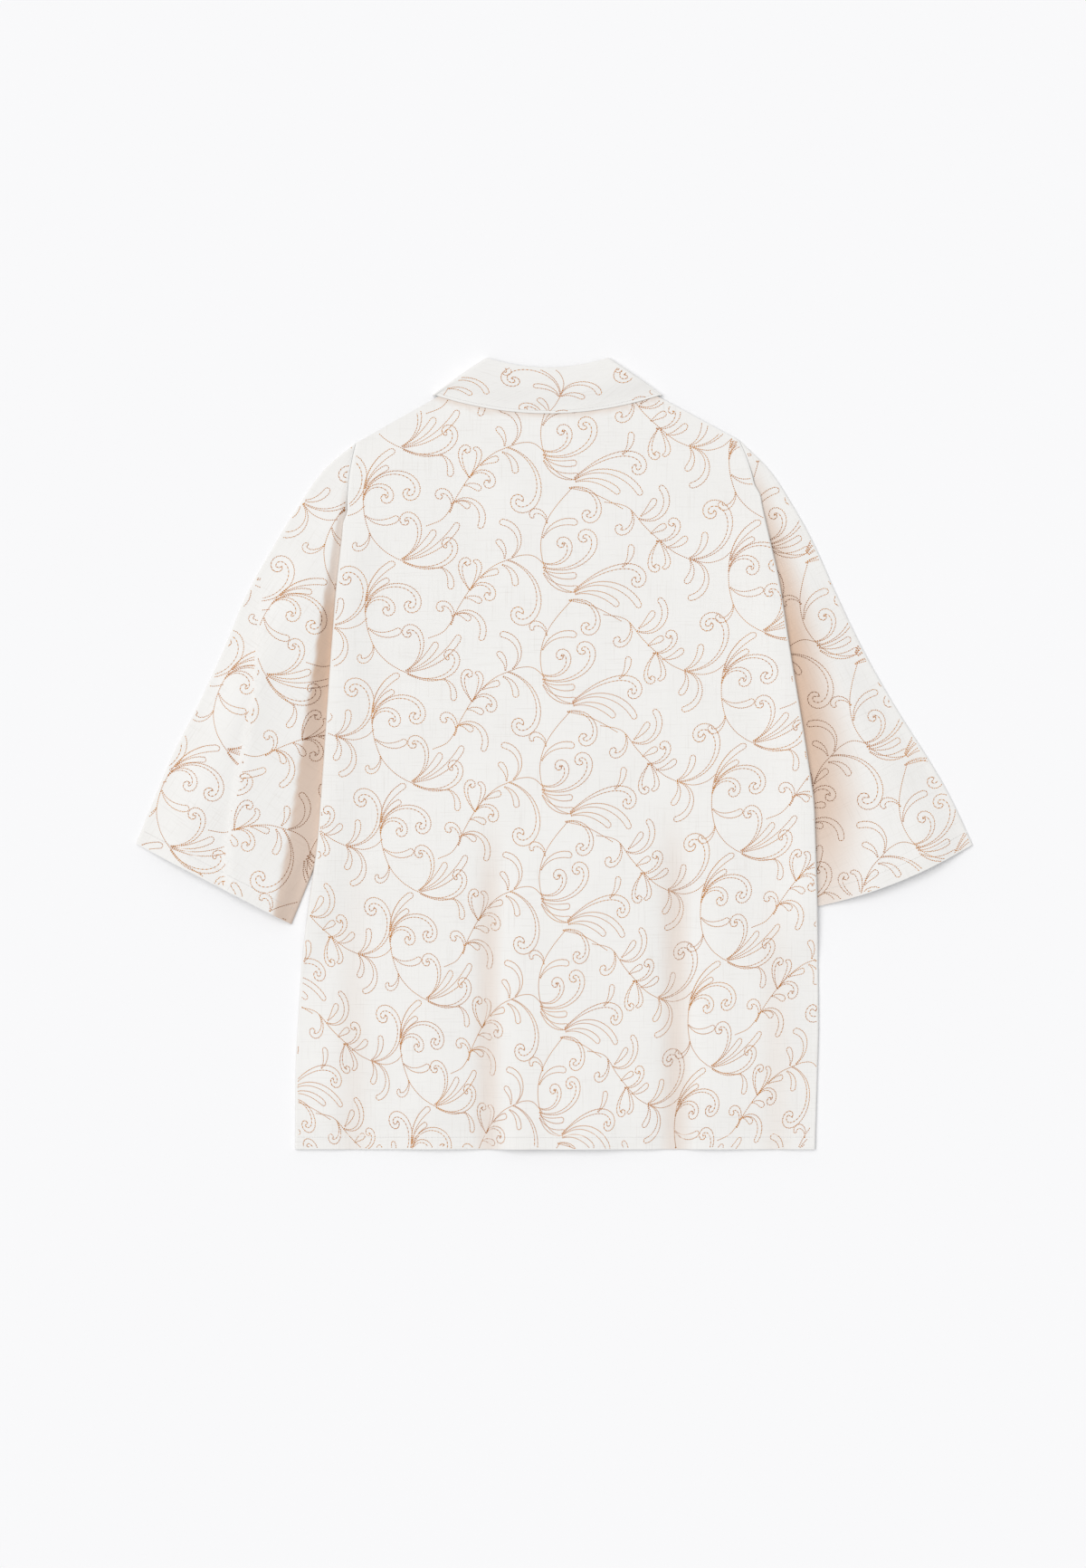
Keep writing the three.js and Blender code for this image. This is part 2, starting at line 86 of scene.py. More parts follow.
# sign: -1 left, 1 right. tip: shoulder tip. edge and outer: rows of (x, y) down the side of the body and
# down the upper edge of the sleeve. valley: (y, width, shade) rows of the slope that the sleeve makes
# beside the body; the shade column is painted shade, darker colour standing in for the shadow in that fold.
# sharp: whether that slope ends in a crisp ridge.
Side = namedtuple(
    "Side", "sign tip underarm cuff_inner rim_bow cuff_bow join edge outer valley sharp"
)
LEFT = Side(
    -1, (-219.5, 344), (-172.5, 103), (-290.5, -188), -28, 0, 262,
    edge=((-233, 256), (-241.5, 181), (-248.5, 91), (-254.5, 0), (-261.5, -97),
          (-274.5, -187), (-280, -240), (-286, -340), (-286.5, HEM_Y)),
    outer=((-219.5, 344), (-255.5, 313), (-283.5, 273), (-308.5, 233), (-341.5, 173),
           (-366.5, 113), (-394.5, 53), (-424.5, -7), (-462.5, -99)),
    valley=((-188, 40, 0.72), (-97, 35, 0.7), (-38, 30, 0.76), (33, 25, 0.82), (90, 19, 0.97),
            (150, 15, 0.95), (195, 11, 0.5), (253, 8, 0.4)),
    sharp=True,
)
RIGHT = Side(
    1, (204.5, 347), (149.5, 103), (281.5, -170), 43, 9, 292,
    edge=((227, 286), (248.5, 194), (261.5, 110), (274.5, 33), (287.5, -52),
          (291, -168), (292.5, -300), (288.5, HEM_Y)),
    outer=((204.5, 347), (238.5, 313), (264.5, 273), (286.5, 233), (313.5, 173),
           (342.5, 113), (376.5, 53), (414.5, -7), (437.5, -47), (462.5, -100)),
    valley=((-170, 66, 0.36), (-100, 72, 0.66), (-52, 74, 0.84), (33, 66, 0.94), (130, 50, 0.96),
            (200, 36, 0.78), (283, 20, 0.43)),
    sharp=False,
)

# ---- small helpers ----------------------------------------------------------------


def lerp(start, end, share):
    """The point at that share of the way from start to end."""
    return start + (end - start) * share


def smoothstep(value, low, high):
    """0 below low, 1 above high, and 3t^2 - 2t^3 between them."""
    t = np.clip((value - low) / (high - low), 0, 1)
    return t * t * (3 - 2 * t)


def bell(distance, half_width):
    """A bump of height 1 that falls as exp(-(distance / half_width)^2)."""
    return np.exp(-((distance / half_width) ** 2))


def roll(distance, radius):
    """The height of a quarter circle: 0 at the folded edge, 1 from radius inwards."""
    q = np.clip(distance / radius, 0, 1)
    return np.sqrt(1 - (1 - q) ** 2)


TABLE_BLUR = 16


def table_x(table, y):
    """x against y in a table that runs down in y, read at nine heights and averaged."""
    rows = np.array(table, float)[::-1]
    shifts = np.linspace(-TABLE_BLUR, TABLE_BLUR, 9)
    return np.mean([np.interp(y + shift, rows[:, 1], rows[:, 0]) for shift in shifts], axis=0)


def for_sides(x, value):
    """value(side) for the side of the garment that each x lies on."""
    return np.where(x < COLLAR_CENTRE_X, value(LEFT), value(RIGHT))


def distance_to_segment(x, y, a, b):
    """Distance in the plan from points to the straight stretch between a and b."""
    dx, dy = b[0] - a[0], b[1] - a[1]
    along = np.clip(((x - a[0]) * dx + (y - a[1]) * dy) / (dx * dx + dy * dy), 0, 1)
    return np.hypot(x - a[0] - along * dx, y - a[1] - along * dy)


def side_of_line(x, y, a, b):
    """Signed distance in the plan from the endless line through a and b."""
    dx, dy = b[0] - a[0], b[1] - a[1]
    return ((x - a[0]) * dy - (y - a[1]) * dx) / math.hypot(dx, dy)


def smooth_curve(points, samples=400):
    """A Catmull-Rom curve through the points, read at equal steps of its length."""
    p = np.array(points, float)
    ends = np.vstack([2 * p[0] - p[1], p, 2 * p[-1] - p[-2]])
    t = np.linspace(0, len(p) - 1 - 1e-9, samples)
    i = t.astype(int)
    f = (t - i)[:, None]
    a, b, c, d = (ends[i + k] for k in range(4))
    curve = 0.5 * (2 * b + (c - a) * f + (2 * a - 5 * b + 4 * c - d) * f**2
                   + (3 * b - a - 3 * c + d) * f**3)
    return even_steps(curve, np.linspace(0, 1, samples))


def even_steps(curve, shares):
    """The points of a polyline at the given shares of its length."""
    steps = np.linalg.norm(np.diff(curve, axis=0), axis=1)
    length = np.concatenate([[0], np.cumsum(steps)])
    return np.stack([np.interp(shares * length[-1], length, curve[:, k]) for k in range(2)], 1)


SLEEVE_CURVE = {side: smooth_curve(side.outer) for side in (LEFT, RIGHT)}

# ---- plan of the body -------------------------------------------------------------


def centre_x(y):
    """The middle of the garment, which leans a little to the right towards the hem."""
    return lerp(COLLAR_CENTRE_X, HEM_CENTRE_X, (SHOULDER_Y - y) / (SHOULDER_Y - HEM_Y))


def armhole_x(side, y):
    """The armhole seam: a straight line from tip to underarm, bowed by a parabola."""
    share = np.clip((side.tip[1] - y) / (side.tip[1] - side.underarm[1]), 0, 1)
    return lerp(side.tip[0], side.underarm[0], share) + side.rim_bow * 4 * share * (1 - share)


JOIN_BLEND = 8


def body_edge_x(side, y):
    """The armhole above the join and the side fold below it, blended over 16 mm."""
    seam = armhole_x(side, y) - side.sign * SEAM_GAP
    above_join = smoothstep(y, side.join - JOIN_BLEND, side.join + JOIN_BLEND)
    return lerp(table_x(side.edge, y), seam, above_join)


def front_edge_x(side, y):
    """The armhole down to the underarm, from where the front widens to the side fold."""
    seam = armhole_x(side, y) - side.sign * 2 * SEAM_GAP
    share = np.clip((side.underarm[1] - y) / UNDERARM_RUN, 0, 1)
    return lerp(seam, table_x(side.edge, y), share)


def front_centre_x(side, y):
    """The centre edge of a front, which lies past the middle by the overlap."""
    return centre_x(y) - side.sign * FRONT_CENTRE_OVERLAP


def top_edge_y(x, neck_y):
    """The neck seam, a parabola in x, and then the straight shoulder to the tip."""
    away = np.abs(x - COLLAR_CENTRE_X)
    neck = lerp(neck_y, COLLAR_SEAM.side, np.minimum(away / NECK_HALF_WIDTH, 1) ** 2)
    tip_away = for_sides(x, lambda side: side.sign * (side.tip[0] - COLLAR_CENTRE_X))
    tip_y = for_sides(x, lambda side: side.tip[1])
    share = np.clip((away - NECK_HALF_WIDTH) / (tip_away - NECK_HALF_WIDTH), 0, 1)
    shoulder = lerp(COLLAR_SEAM.side, tip_y, share)
    return np.where(away < NECK_HALF_WIDTH, neck, shoulder) - 2 * SEAM_GAP


def clustered(count, bunching=0.9):
    """Shares from -1 to 1 that lie closer together towards both ends."""
    u = np.linspace(-1, 1, count)
    return lerp(u, np.sin(u * math.pi / 2), bunching)


def row_shares(count):
    """Shares from 0 to 1, with close rows at the top edge and at the hem."""
    close = np.array([0, 0.0004, 0.001, 0.0018, 0.003])
    return np.concatenate([close, np.linspace(0.006, 0.994, count), 1 - close[::-1]])


# ---- heights of the body ----------------------------------------------------------

# Past a layer that lies under the cloth, its rise fades out from the first of these
# distances to the second.
PAST_CUFF = (12, 72)
PAST_SLEEVE = (28, 66)
PAST_COLLAR = (26, 66)
PAST_PLACKET = (36, 92)

BACK_LEVEL = 2.7
BACK_LEAST = 2.6
BODY_LIFT = 3.3
COLLAR_LIFT = 1.5
LOWER_LIFT = 1.6
SLOPE_RUN = 45
HEM_RUN = 50
NECK_RUN = 40
LOWER_RUN = (60, 320)

SIDE_PUFF = 4.2
PUFF_PLACE = 12
PUFF_HALF_WIDTH = 26
PUFF_STARTS = (-10, 60)
PUFF_ENDS = (-50, 20)
RIPPLE_RUN = 30
BACK_ROLL = 1.8
FRONT_ROLL = 2.4
FRONT_ROLL_RUN = 30
FLOOR_GAP = 0.42
HEM_DEPTH = 15
HEM_STEP = 0.35
HEM_STEP_HALF_WIDTH = 0.8
SEAM_DITCH = 0.8
SEAM_HALF_WIDTH = 1.8

# The middle height of a folded side edge, on the floor and over a sleeve, and how far below
# and above the join the side fold turns into the armhole seam.
BACK_EDGE = (1.5, 4.6)
FRONT_EDGE = (1.4, 4.5)
BELOW_JOIN = 6
ABOVE_JOIN = 10


def over_sleeve(x, y):
    """1 where a sleeve lies under the body, 0 well inside it and below the cuffs."""
    def value(side):
        beyond = side.sign * side_of_line(x, y, side.underarm, side.cuff_inner) < 0
        armhole = side.sign * (x - armhole_x(side, y)) > 0
        over = np.where(y < side.underarm[1], beyond, armhole)
        below = 1 - smoothstep(side.cuff_inner[1] - y, *PAST_CUFF)
        away = distance_to_segment(x, y, side.underarm, side.cuff_inner)
        return np.where(over, below, 1 - smoothstep(away, *PAST_SLEEVE))
    return for_sides(x, value)


def over_collar(x, y):
    """1 over the front half of the collar, 0 below it."""
    reach = np.abs(x - COLLAR_CENTRE_X) / COLLAR_EDGE.half_width
    share = np.clip((reach - COLLAR_POINT_SPREAD) / (1 - COLLAR_POINT_SPREAD), 0, 1)
    edge_y = lerp(COLLAR_EDGE.front, COLLAR_EDGE.side, share**COLLAR_EDGE.power)
    return 1 - smoothstep(edge_y - y, *PAST_COLLAR)


# The long soft folds of the back: where each lies, how much it lifts or sinks, its half
# width, how it drifts sideways towards the hem, and the heights where it starts.
Fold = namedtuple("Fold", "x lift half_width drift top run")
BACK_FOLDS = (
    Fold(-68, -3.0, 15, -4, -40, 150),
    Fold(-40, 1.5, 24, 0, -30, 200),
    Fold(-126, 2.0, 34, -6, 40, 260),
    Fold(131, -3.2, 17, 3, -30, 160),
    Fold(98, 1.4, 22, 0, -60, 220),
    Fold(172, 1.8, 30, 8, 60, 260),
    Fold(30, 0.9, 40, 0, 40, 300),
    Fold(236, -1.2, 16, 8, -90, 200),
    Fold(-214, -1.1, 16, -8, -60, 220),
)
FRONT_FOLDS = (
    Fold(-110, 0.5, 26, -6, 60, 260),
    Fold(120, 0.5, 30, 6, 20, 260),
)


def fold_lift(x, y, folds):
    """The sum of the folds: each a bell across its line, growing over its run."""
    total = np.zeros(np.broadcast(x, y).shape)
    for fold in folds:
        down = smoothstep(fold.top - y, 0, fold.run)
        total += fold.lift * down * bell(x - fold.x - fold.drift * down, fold.half_width)
    return total


# Slow sines: height, lengths along x and y, and phase.
Wave = namedtuple("Wave", "height along_x along_y phase")
RIPPLES = (Wave(0.22, 21, 74, 0), Wave(0.2, 47, -33, 1.3), Wave(0.12, 15, -120, 0.4))


def ripple(x, y):
    """Slight unevenness of a pressed cloth: three slow sines in different directions."""
    return sum(wave.height * np.sin(x / wave.along_x + y / wave.along_y + wave.phase)
               for wave in RIPPLES)


def side_distance(x, y, edge):
    """How far inside the side of the body a point lies."""
    return for_sides(x, lambda side: side.sign * (edge(side, y) - x))


def hem_step(distance, depth):
    """The double cloth of a hem: a little thicker from the edge up to its stitching."""
    low, high = depth - HEM_STEP_HALF_WIDTH, depth + HEM_STEP_HALF_WIDTH
    return HEM_STEP * (1 - smoothstep(distance, low, high))


def seam_ditch(distance, join, y):
    """The shallow ditch along a seam, which ends at the join."""
    above_join = smoothstep(y, join - JOIN_BLEND / 2, join + JOIN_BLEND)
    return SEAM_DITCH * bell(distance, SEAM_HALF_WIDTH) * above_join


def back_level(x, y, inside, shoulder_rise):
    """The back without its folds: low at the side folds and the hem, raised by BODY_LIFT
    between them and over the sleeves, and by 1 mm more over the plackets."""
    underarm_y = for_sides(x, lambda side: side.underarm[1])
    beside_sleeve = np.where(y > underarm_y, 1, over_sleeve(x, y))
    side_rise = 1 - (1 - smoothstep(inside, 0, SLOPE_RUN)) * (1 - beside_sleeve)
    raised = shoulder_rise * side_rise * smoothstep(y - HEM_Y, 0, HEM_RUN)
    centre = 1 - smoothstep(np.abs(x - centre_x(y)), *PAST_PLACKET)
    placket = centre * smoothstep(COLLAR_SEAM.back - y, 0, NECK_RUN)
    either = raised + placket - raised * placket
    neck = COLLAR_LIFT * over_collar(x, y) * (1 - shoulder_rise)
    return BACK_LEVEL + BODY_LIFT * either + placket + neck


def back_top(x, y):
    """The upper face of the back: its level, puffed beside the sleeves, with its folds and
    ripples, thicker at the hem, with a ditch at the armhole, rolled down at the side folds."""
    def from_shoulder(side):
        neck_point = (COLLAR_CENTRE_X + side.sign * NECK_HALF_WIDTH, COLLAR_SEAM.side)
        return distance_to_segment(x, y, neck_point, side.tip)
    inside = side_distance(x, y, body_edge_x)
    shoulder_rise = smoothstep(for_sides(x, from_shoulder), 0, SLOPE_RUN)
    join_y = for_sides(x, lambda side: side.join)
    cuff_y = for_sides(x, lambda side: side.cuff_inner[1])
    sleeve_span = smoothstep(join_y - y, *PUFF_STARTS) * smoothstep(y - cuff_y, *PUFF_ENDS)
    puff = SIDE_PUFF * sleeve_span * bell(inside - PUFF_PLACE, PUFF_HALF_WIDTH)
    waves = fold_lift(x, y, BACK_FOLDS) + ripple(x, y) * smoothstep(inside, 0, RIPPLE_RUN)
    lower = LOWER_LIFT * smoothstep(LOWER_RUN[0] - y, 0, LOWER_RUN[1])
    level = back_level(x, y, inside, shoulder_rise)
    top = np.maximum(level + puff + waves * shoulder_rise + lower, BACK_LEAST)
    top = top + hem_step(y - HEM_Y, HEM_DEPTH)
    low = lerp(*BACK_EDGE, over_sleeve(x, y))
    rolled = low + (top - low) * roll(inside, BACK_ROLL)
    above_join = smoothstep(y, join_y - BELOW_JOIN, join_y + ABOVE_JOIN)
    return lerp(rolled, top - seam_ditch(inside, join_y, y), above_join)


# lift: how high the front lies at its overlapped centre. slope: how far past the placket
# it comes down to the floor.
Front = namedtuple("Front", "side lift slope")
FRONTS = {"left": Front(LEFT, 4.0, 50), "right": Front(RIGHT, 2.5, 40)}


def front_under(front, x, y):
    """The face of a front that lies on the floor: raised at the overlapped centre, over
    the sleeves and over the collar, and rolled up at the side folds."""
    past = np.abs(x - centre_x(y)) - PLACKET_HALF_WIDTH
    placket = front.lift * (1 - smoothstep(past, 0, front.slope))
    raised = np.maximum(placket, BODY_LIFT * over_sleeve(x, y))
    raised = np.maximum(raised, COLLAR_LIFT * over_collar(x, y))
    inside = side_distance(x, y, front_edge_x)
    below_arm = for_sides(x, lambda side: smoothstep(
        side.underarm[1] - y, UNDERARM_RUN - FRONT_ROLL_RUN, UNDERARM_RUN))
    high = lerp(*FRONT_EDGE, over_sleeve(x, y))
    waves = np.maximum(fold_lift(x, y, FRONT_FOLDS), 0)
    level = FLOOR_GAP + raised + waves
    return lerp(level, high - (high - level) * roll(inside, FRONT_ROLL), below_arm)


# ---- sleeves ----------------------------------------------------------------------

SLEEVE_LOW = 3.1
SLEEVE_MIDDLE = 1.6
SLEEVE_ROLL = 3.6
TUCKED_ROLL = 3.2
UNDER_ROLL = 1.6
RIM_BOW_FADES = (0, 0.5)
CUFF_BOW_GROWS = (0.6, 1)
CROWN_LOW = 3.3
CROWN_RISE = 6.2
CROWN_RUN = (50, 230)
CROWN_SLOPE = 52
TUCKED_SLOPE = 26
TUCKED_START = 4
SLOPE_STARTS = (-52, 8)
SHARP_SLOPE = (0.2, 0.8)
SLEEVE_RIPPLE = 1.2
SLEEVE_RIPPLE_SHIFT = 40
LEFT_CREASE = (
    (-323.5, 186), (-330.5, 60), (-341.5, 8), (-350.5, -41), (-360.5, -107), (-361, -170),
)
CREASE_STEP = 3.6
CREASE_FALL = 40
CREASE_RUN = 90
CREASE_HALF_WIDTH = 1.4
CREASE_DIP = 1.2
DIP_PLACE = 3
DIP_HALF_WIDTH = 9
CUFF_HEM = 18

# A sleeve's upper edge leans by 29 to 30 degrees from the upright and its cuff by 21 to 27
# from the level, so a step square to them is about this share of one along x or along y.
EDGE_LEAN = 0.89
CUFF_LEAN = 0.9

# Where the painted shade of the slope beside the body fades out: shares of the slope's width for a crisp
# and for a soft ridge, and heights from the join down.
CRISP_SHADE = (0.86, 1.0)
SOFT_SHADE = (0.05, 0.95)
SHADE_STARTS = (-40, 8)


def sleeve_plan(side, across, along):
    """Straight lines from the upper edge (across 0) to the inner edge (across 1), bowed
    at the armhole and at the cuff by parabolas that fade along the sleeve."""
    curve = SLEEVE_CURVE[side]
    share = np.linspace(0, 1, len(curve))
    edge_x = np.interp(along, share, curve[:, 0])
    edge_y = np.interp(along, share, curve[:, 1])
    inner_x = lerp(side.underarm[0], side.cuff_inner[0], along)
    inner_y = lerp(side.underarm[1], side.cuff_inner[1], along)
    bow = 4 * across * (1 - across)
    rim = side.rim_bow * (1 - smoothstep(along, *RIM_BOW_FADES)) * bow
    cuff = side.cuff_bow * smoothstep(along, *CUFF_BOW_GROWS) * bow
    return lerp(edge_x, inner_x, across) + rim, lerp(edge_y, inner_y, across) - cuff


def outer_distance(side, x, y):
    """How far inside the sleeve's upper edge a point lies, square to that edge."""
    curve = SLEEVE_CURVE[side][::-1]
    return EDGE_LEAN * side.sign * (np.interp(y, curve[:, 1], curve[:, 0]) - x)


def inner_distance(side, x, y):
    """How far outside the sleeve's inner edge, on the sleeve, a point lies."""
    return -side.sign * side_of_line(x, y, side.underarm, side.cuff_inner)


def cuff_distance(side, x, y):
    """How far above the cuff a point lies."""
    outer = side.outer[-1]
    flat = side.sign * side_of_line(x, y, outer, side.cuff_inner)
    span = math.dist(outer, side.cuff_inner)
    dx, dy = side.cuff_inner[0] - outer[0], side.cuff_inner[1] - outer[1]
    share = np.clip(((x - outer[0]) * dx + (y - outer[1]) * dy) / span**2, 0, 1)
    return flat + side.cuff_bow * 4 * share * (1 - share) * CUFF_LEAN


def crease_offset(x, y):
    """Signed distance to the right of the left sleeve's pressed crease, and its strength."""
    rows = np.array(LEFT_CREASE, float)[::-1]
    line = np.interp(y, rows[:, 1], rows[:, 0])
    strength = smoothstep(LEFT_CREASE[0][1] - y, 0, CREASE_RUN)
    return x - line, strength


def valley_share(side, x, y, column):
    """How far up the slope beside the body a point lies, 0 to 1, and the given column of
    the side's valley rows at its height."""
    rows = np.array(side.valley, float)
    clear = side.sign * (x - body_edge_x(side, y))
    share = np.clip(clear / np.interp(y, rows[:, 0], rows[:, 1]), 0, 1)
    return share, np.interp(y, rows[:, 0], rows[:, column])


def crease_lift(x, y):
    """The left sleeve's crease: a sharp step that falls away to the right over CREASE_FALL
    and a shallow dip on its left."""
    right, strength = crease_offset(x, y)
    step = smoothstep(right, -CREASE_HALF_WIDTH, CREASE_HALF_WIDTH)
    fall = np.exp(-np.maximum(right, 0) / CREASE_FALL) * step
    dip = CREASE_DIP * bell(right + DIP_PLACE, DIP_HALF_WIDTH) * (right < 0)
    return strength * (CREASE_STEP * fall - dip)


def sleeve_top(side, x, y):
    """The upper face of a sleeve: it rises from its folded outer edge to a soft crown and
    sinks towards the side of the body, which lies on it."""
    out = outer_distance(side, x, y)
    inner = inner_distance(side, x, y)
    share, _ = valley_share(side, x, y, 1)
    smooth = smoothstep(share, 0, 1)
    slope = SHARP_SLOPE[0] * smooth + SHARP_SLOPE[1] * share if side.sharp else smooth
    lifted = 1 - smoothstep(side.join - y, *SLOPE_STARTS) * (1 - slope)
    crown = CROWN_LOW + CROWN_RISE * smoothstep(side.tip[1] - y, *CROWN_RUN)
    crown = crown * smoothstep(out, 0, CROWN_SLOPE) * lifted
    crown = crown * smoothstep(inner + TUCKED_START, 0, TUCKED_SLOPE)
    waves = ripple(x * side.sign + SLEEVE_RIPPLE_SHIFT, y) * SLEEVE_RIPPLE
    waves = waves * smoothstep(out, 0, RIPPLE_RUN) * lifted
    top = SLEEVE_LOW + crown + waves
    if side.sharp:
        top = top + crease_lift(x, y)
    top = top + hem_step(cuff_distance(side, x, y), CUFF_HEM)
    seam = seam_ditch(side.sign * (x - armhole_x(side, y)), side.join, y)
    edge = np.minimum(roll(out, SLEEVE_ROLL), roll(inner, TUCKED_ROLL))
    return SLEEVE_MIDDLE + (top - seam - SLEEVE_MIDDLE) * edge


def sleeve_under(side, x, y):
    """The face of a sleeve that lies on the floor, rolled up at both folded edges."""
    out = outer_distance(side, x, y)
    edge = np.minimum(roll(out, UNDER_ROLL), roll(inner_distance(side, x, y), UNDER_ROLL))
    return SLEEVE_MIDDLE - (SLEEVE_MIDDLE - FLOOR_GAP) * edge


def sleeve_painted_shade(side, x, y):
    """How much painted shade a point of a sleeve takes in the fold beside the body: most at the body's
    edge, 0 past the top of the slope; nearly even under the left sleeve's crisp ridge."""
    share, strongest_painted_shade = valley_share(side, x, y, 2)
    fades = CRISP_SHADE if side.sharp else SOFT_SHADE
    below_join = smoothstep(side.join - y, *SHADE_STARTS)
    return (1 - smoothstep(share, *fades)) * strongest_painted_shade * below_join


# Painted shade in the back's folds and painted shadow under the collar's edge: their strengths, the fold
# depth that shades fully, and the places on the fall where the shadow fades.
PAINTED_FOLD_SHADE = 0.4
DEEPEST_FOLD = 3.2
PAINTED_COLLAR_SHADOW = 0.5
PAINTED_COLLAR_SHADOW_PLACE = (1.0, 1.13)


def back_painted_shade(x, y):
    """How much painted shade a point of the back takes in one of its long folds, and how much painted
    shadow close under the collar's edge."""
    folds = PAINTED_FOLD_SHADE * np.clip(-fold_lift(x, y, BACK_FOLDS) / DEEPEST_FOLD, 0, 1)
    _, place = fall_place(x, y)
    half_width = lerp(COLLAR_RIDGE.half_width, COLLAR_EDGE.half_width, place)
    past_edge = 1 - smoothstep(place, *PAINTED_COLLAR_SHADOW_PLACE)
    below = PAINTED_COLLAR_SHADOW * past_edge * (np.abs(x - COLLAR_CENTRE_X) < half_width)
    return np.maximum(folds, below)


# ---- meshes -----------------------------------------------------------------------


def grid_quads(rows, columns, around=False):
    """Quads between neighbouring points of a grid, row by row; around joins its sides."""
    across = columns if around else columns - 1
    i, j = np.meshgrid(np.arange(rows - 1), np.arange(across), indexing="ij")
    right = (j + 1) % columns
    return np.stack([i * columns + j, (i + 1) * columns + j,
                     (i + 1) * columns + right, i * columns + right], -1).reshape(-1, 4)


def rim_quads(loop, offset):
    """Quads that join a closed run of points to the same run in a second skin."""
    following = np.roll(loop, -1)
    return np.stack([loop + offset, following + offset, following, loop], -1)


def border_of(rows, columns):
    """The points round a grid, down its first column and on anticlockwise."""
    left = np.arange(rows - 1) * columns
    bottom = (rows - 1) * columns + np.arange(columns - 1)
    right = np.arange(rows - 1, 0, -1) * columns + columns - 1
    top = np.arange(columns - 1, 0, -1)
    return np.concatenate([left, bottom, right, top])


def to_object(name, points, faces, uvs, material, painted_shade=None):
    """A mesh object from arrays: points in millimetres, faces of equal corner counts, uvs for each point in
    metres, and for each point its share of painted shade, which its material darkens the colour by. Faces
    are turned over if they enclose less than nothing."""
    points = np.asarray(points, float) * MM
    corners = [points[faces[:, k]] for k in range(faces.shape[1])]
    volume = np.einsum("ij,ij->", corners[0], np.cross(corners[1], corners[2]))
    if faces.shape[1] == 4:
        volume += np.einsum("ij,ij->", corners[0], np.cross(corners[2], corners[3]))
    if volume < 0:
        faces = faces[:, ::-1]
    mesh = bpy.data.meshes.new(name)
    mesh.vertices.add(len(points))
    mesh.vertices.foreach_set("co", points.astype(np.float32).ravel())
    mesh.loops.add(faces.size)
    mesh.loops.foreach_set("vertex_index", faces.astype(np.int32).ravel())
    mesh.polygons.add(len(faces))
    starts = np.arange(0, faces.size, faces.shape[1], dtype=np.int32)
    mesh.polygons.foreach_set("loop_start", starts)
    mesh.polygons.foreach_set("use_smooth", np.ones(len(faces), bool))
    mesh.update(calc_edges=True)
    if uvs is not None:
        layer = mesh.uv_layers.new(name="cloth")
        layer.data.foreach_set("uv", np.asarray(uvs, np.float32)[faces.ravel()].ravel())
    # Painted shade: each point's share of darkening, which the materials multiply the colour by.
    if painted_shade is not None:
        layer = mesh.attributes.new("painted_shade", "FLOAT", "POINT")
        layer.data.foreach_set("value", np.asarray(painted_shade, np.float32).ravel())
    if mesh.validate():
        raise RuntimeError(f"{name}: the mesh had faults")
    mesh.materials.append(material)
    made = bpy.data.objects.new(name, mesh)
    bpy.context.scene.collection.objects.link(made)
    return made


def dressed(made, slot, *nodes):
    """Seats a finished piece on the body and hides the solids it stands for. Its slot, the name of its
    finish, is not used.
    """
    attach(made, BODY)
    if nodes:
        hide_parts(*nodes)
    return made


def shell(name, outer, inner, uvs, material, painted_shade=None, loops=None):
    """Two grids of points, outer and inner, joined along their open edges. A flat piece is
    joined all round its border. Where loops are given, each row of points is a ring, and
    the skins are joined along these rings."""
    rows, columns = outer.shape[:2]
    count = rows * columns
    face = grid_quads(rows, columns, around=loops is not None)
    edges = [border_of(rows, columns)] if loops is None else loops
    rims = [rim_quads(edge, count) for edge in edges]
    faces = np.concatenate([face, face[:, ::-1] + count, *rims])
    points = np.concatenate([outer.reshape(-1, 3), inner.reshape(-1, 3)])
    both = None if uvs is None else np.concatenate([uvs.reshape(-1, 2)] * 2)
    depth = None if painted_shade is None else np.tile(painted_shade.ravel(), 2)
    return to_object(name, points, faces, both, material, depth)


def last_ring(grid):
    """The points of the last row of a grid of rings."""
    rows, columns = grid.shape[:2]
    return np.arange(columns) + (rows - 1) * columns


def skin(x, y, z):
    """A grid of points from their three coordinates."""
    return np.stack([x, y, z], -1)


def there_and_back(upper, lower):
    """Rings that run along the upper rows and return along the lower ones."""
    return np.concatenate([upper, lower[:, -2:0:-1]], 1)


def turned(x, y, degrees, origin=(0, 0)):
    """Plan coordinates read along the grain of a piece that lies at an angle."""
    angle = math.radians(degrees)
    dx, dy = x - origin[0], y - origin[1]
    cos, sin = math.cos(angle), math.sin(angle)
    return dx * cos + dy * sin, dy * cos - dx * sin


def grain_uv(x, y, degrees=0, origin=(0, 0)):
    """The cloth's own coordinates in metres: along the weft and along the warp."""
    return np.stack(turned(x, y, degrees, origin), -1) * MM


# ---- embroidery chart -------------------------------------------------------------

# A leaf starts at (x, y), mm from its spray's node, with a heading in degrees. It bends by
# `bend` degrees steadily along its length and by `curl` degrees more close to its tip.
# wavy: the side with a scalloped outline.
Leaf = namedtuple("Leaf", "x y heading length bend curl width wavy")
PLUME = 6.6
CURL = 5.2
CLUB = 6.2

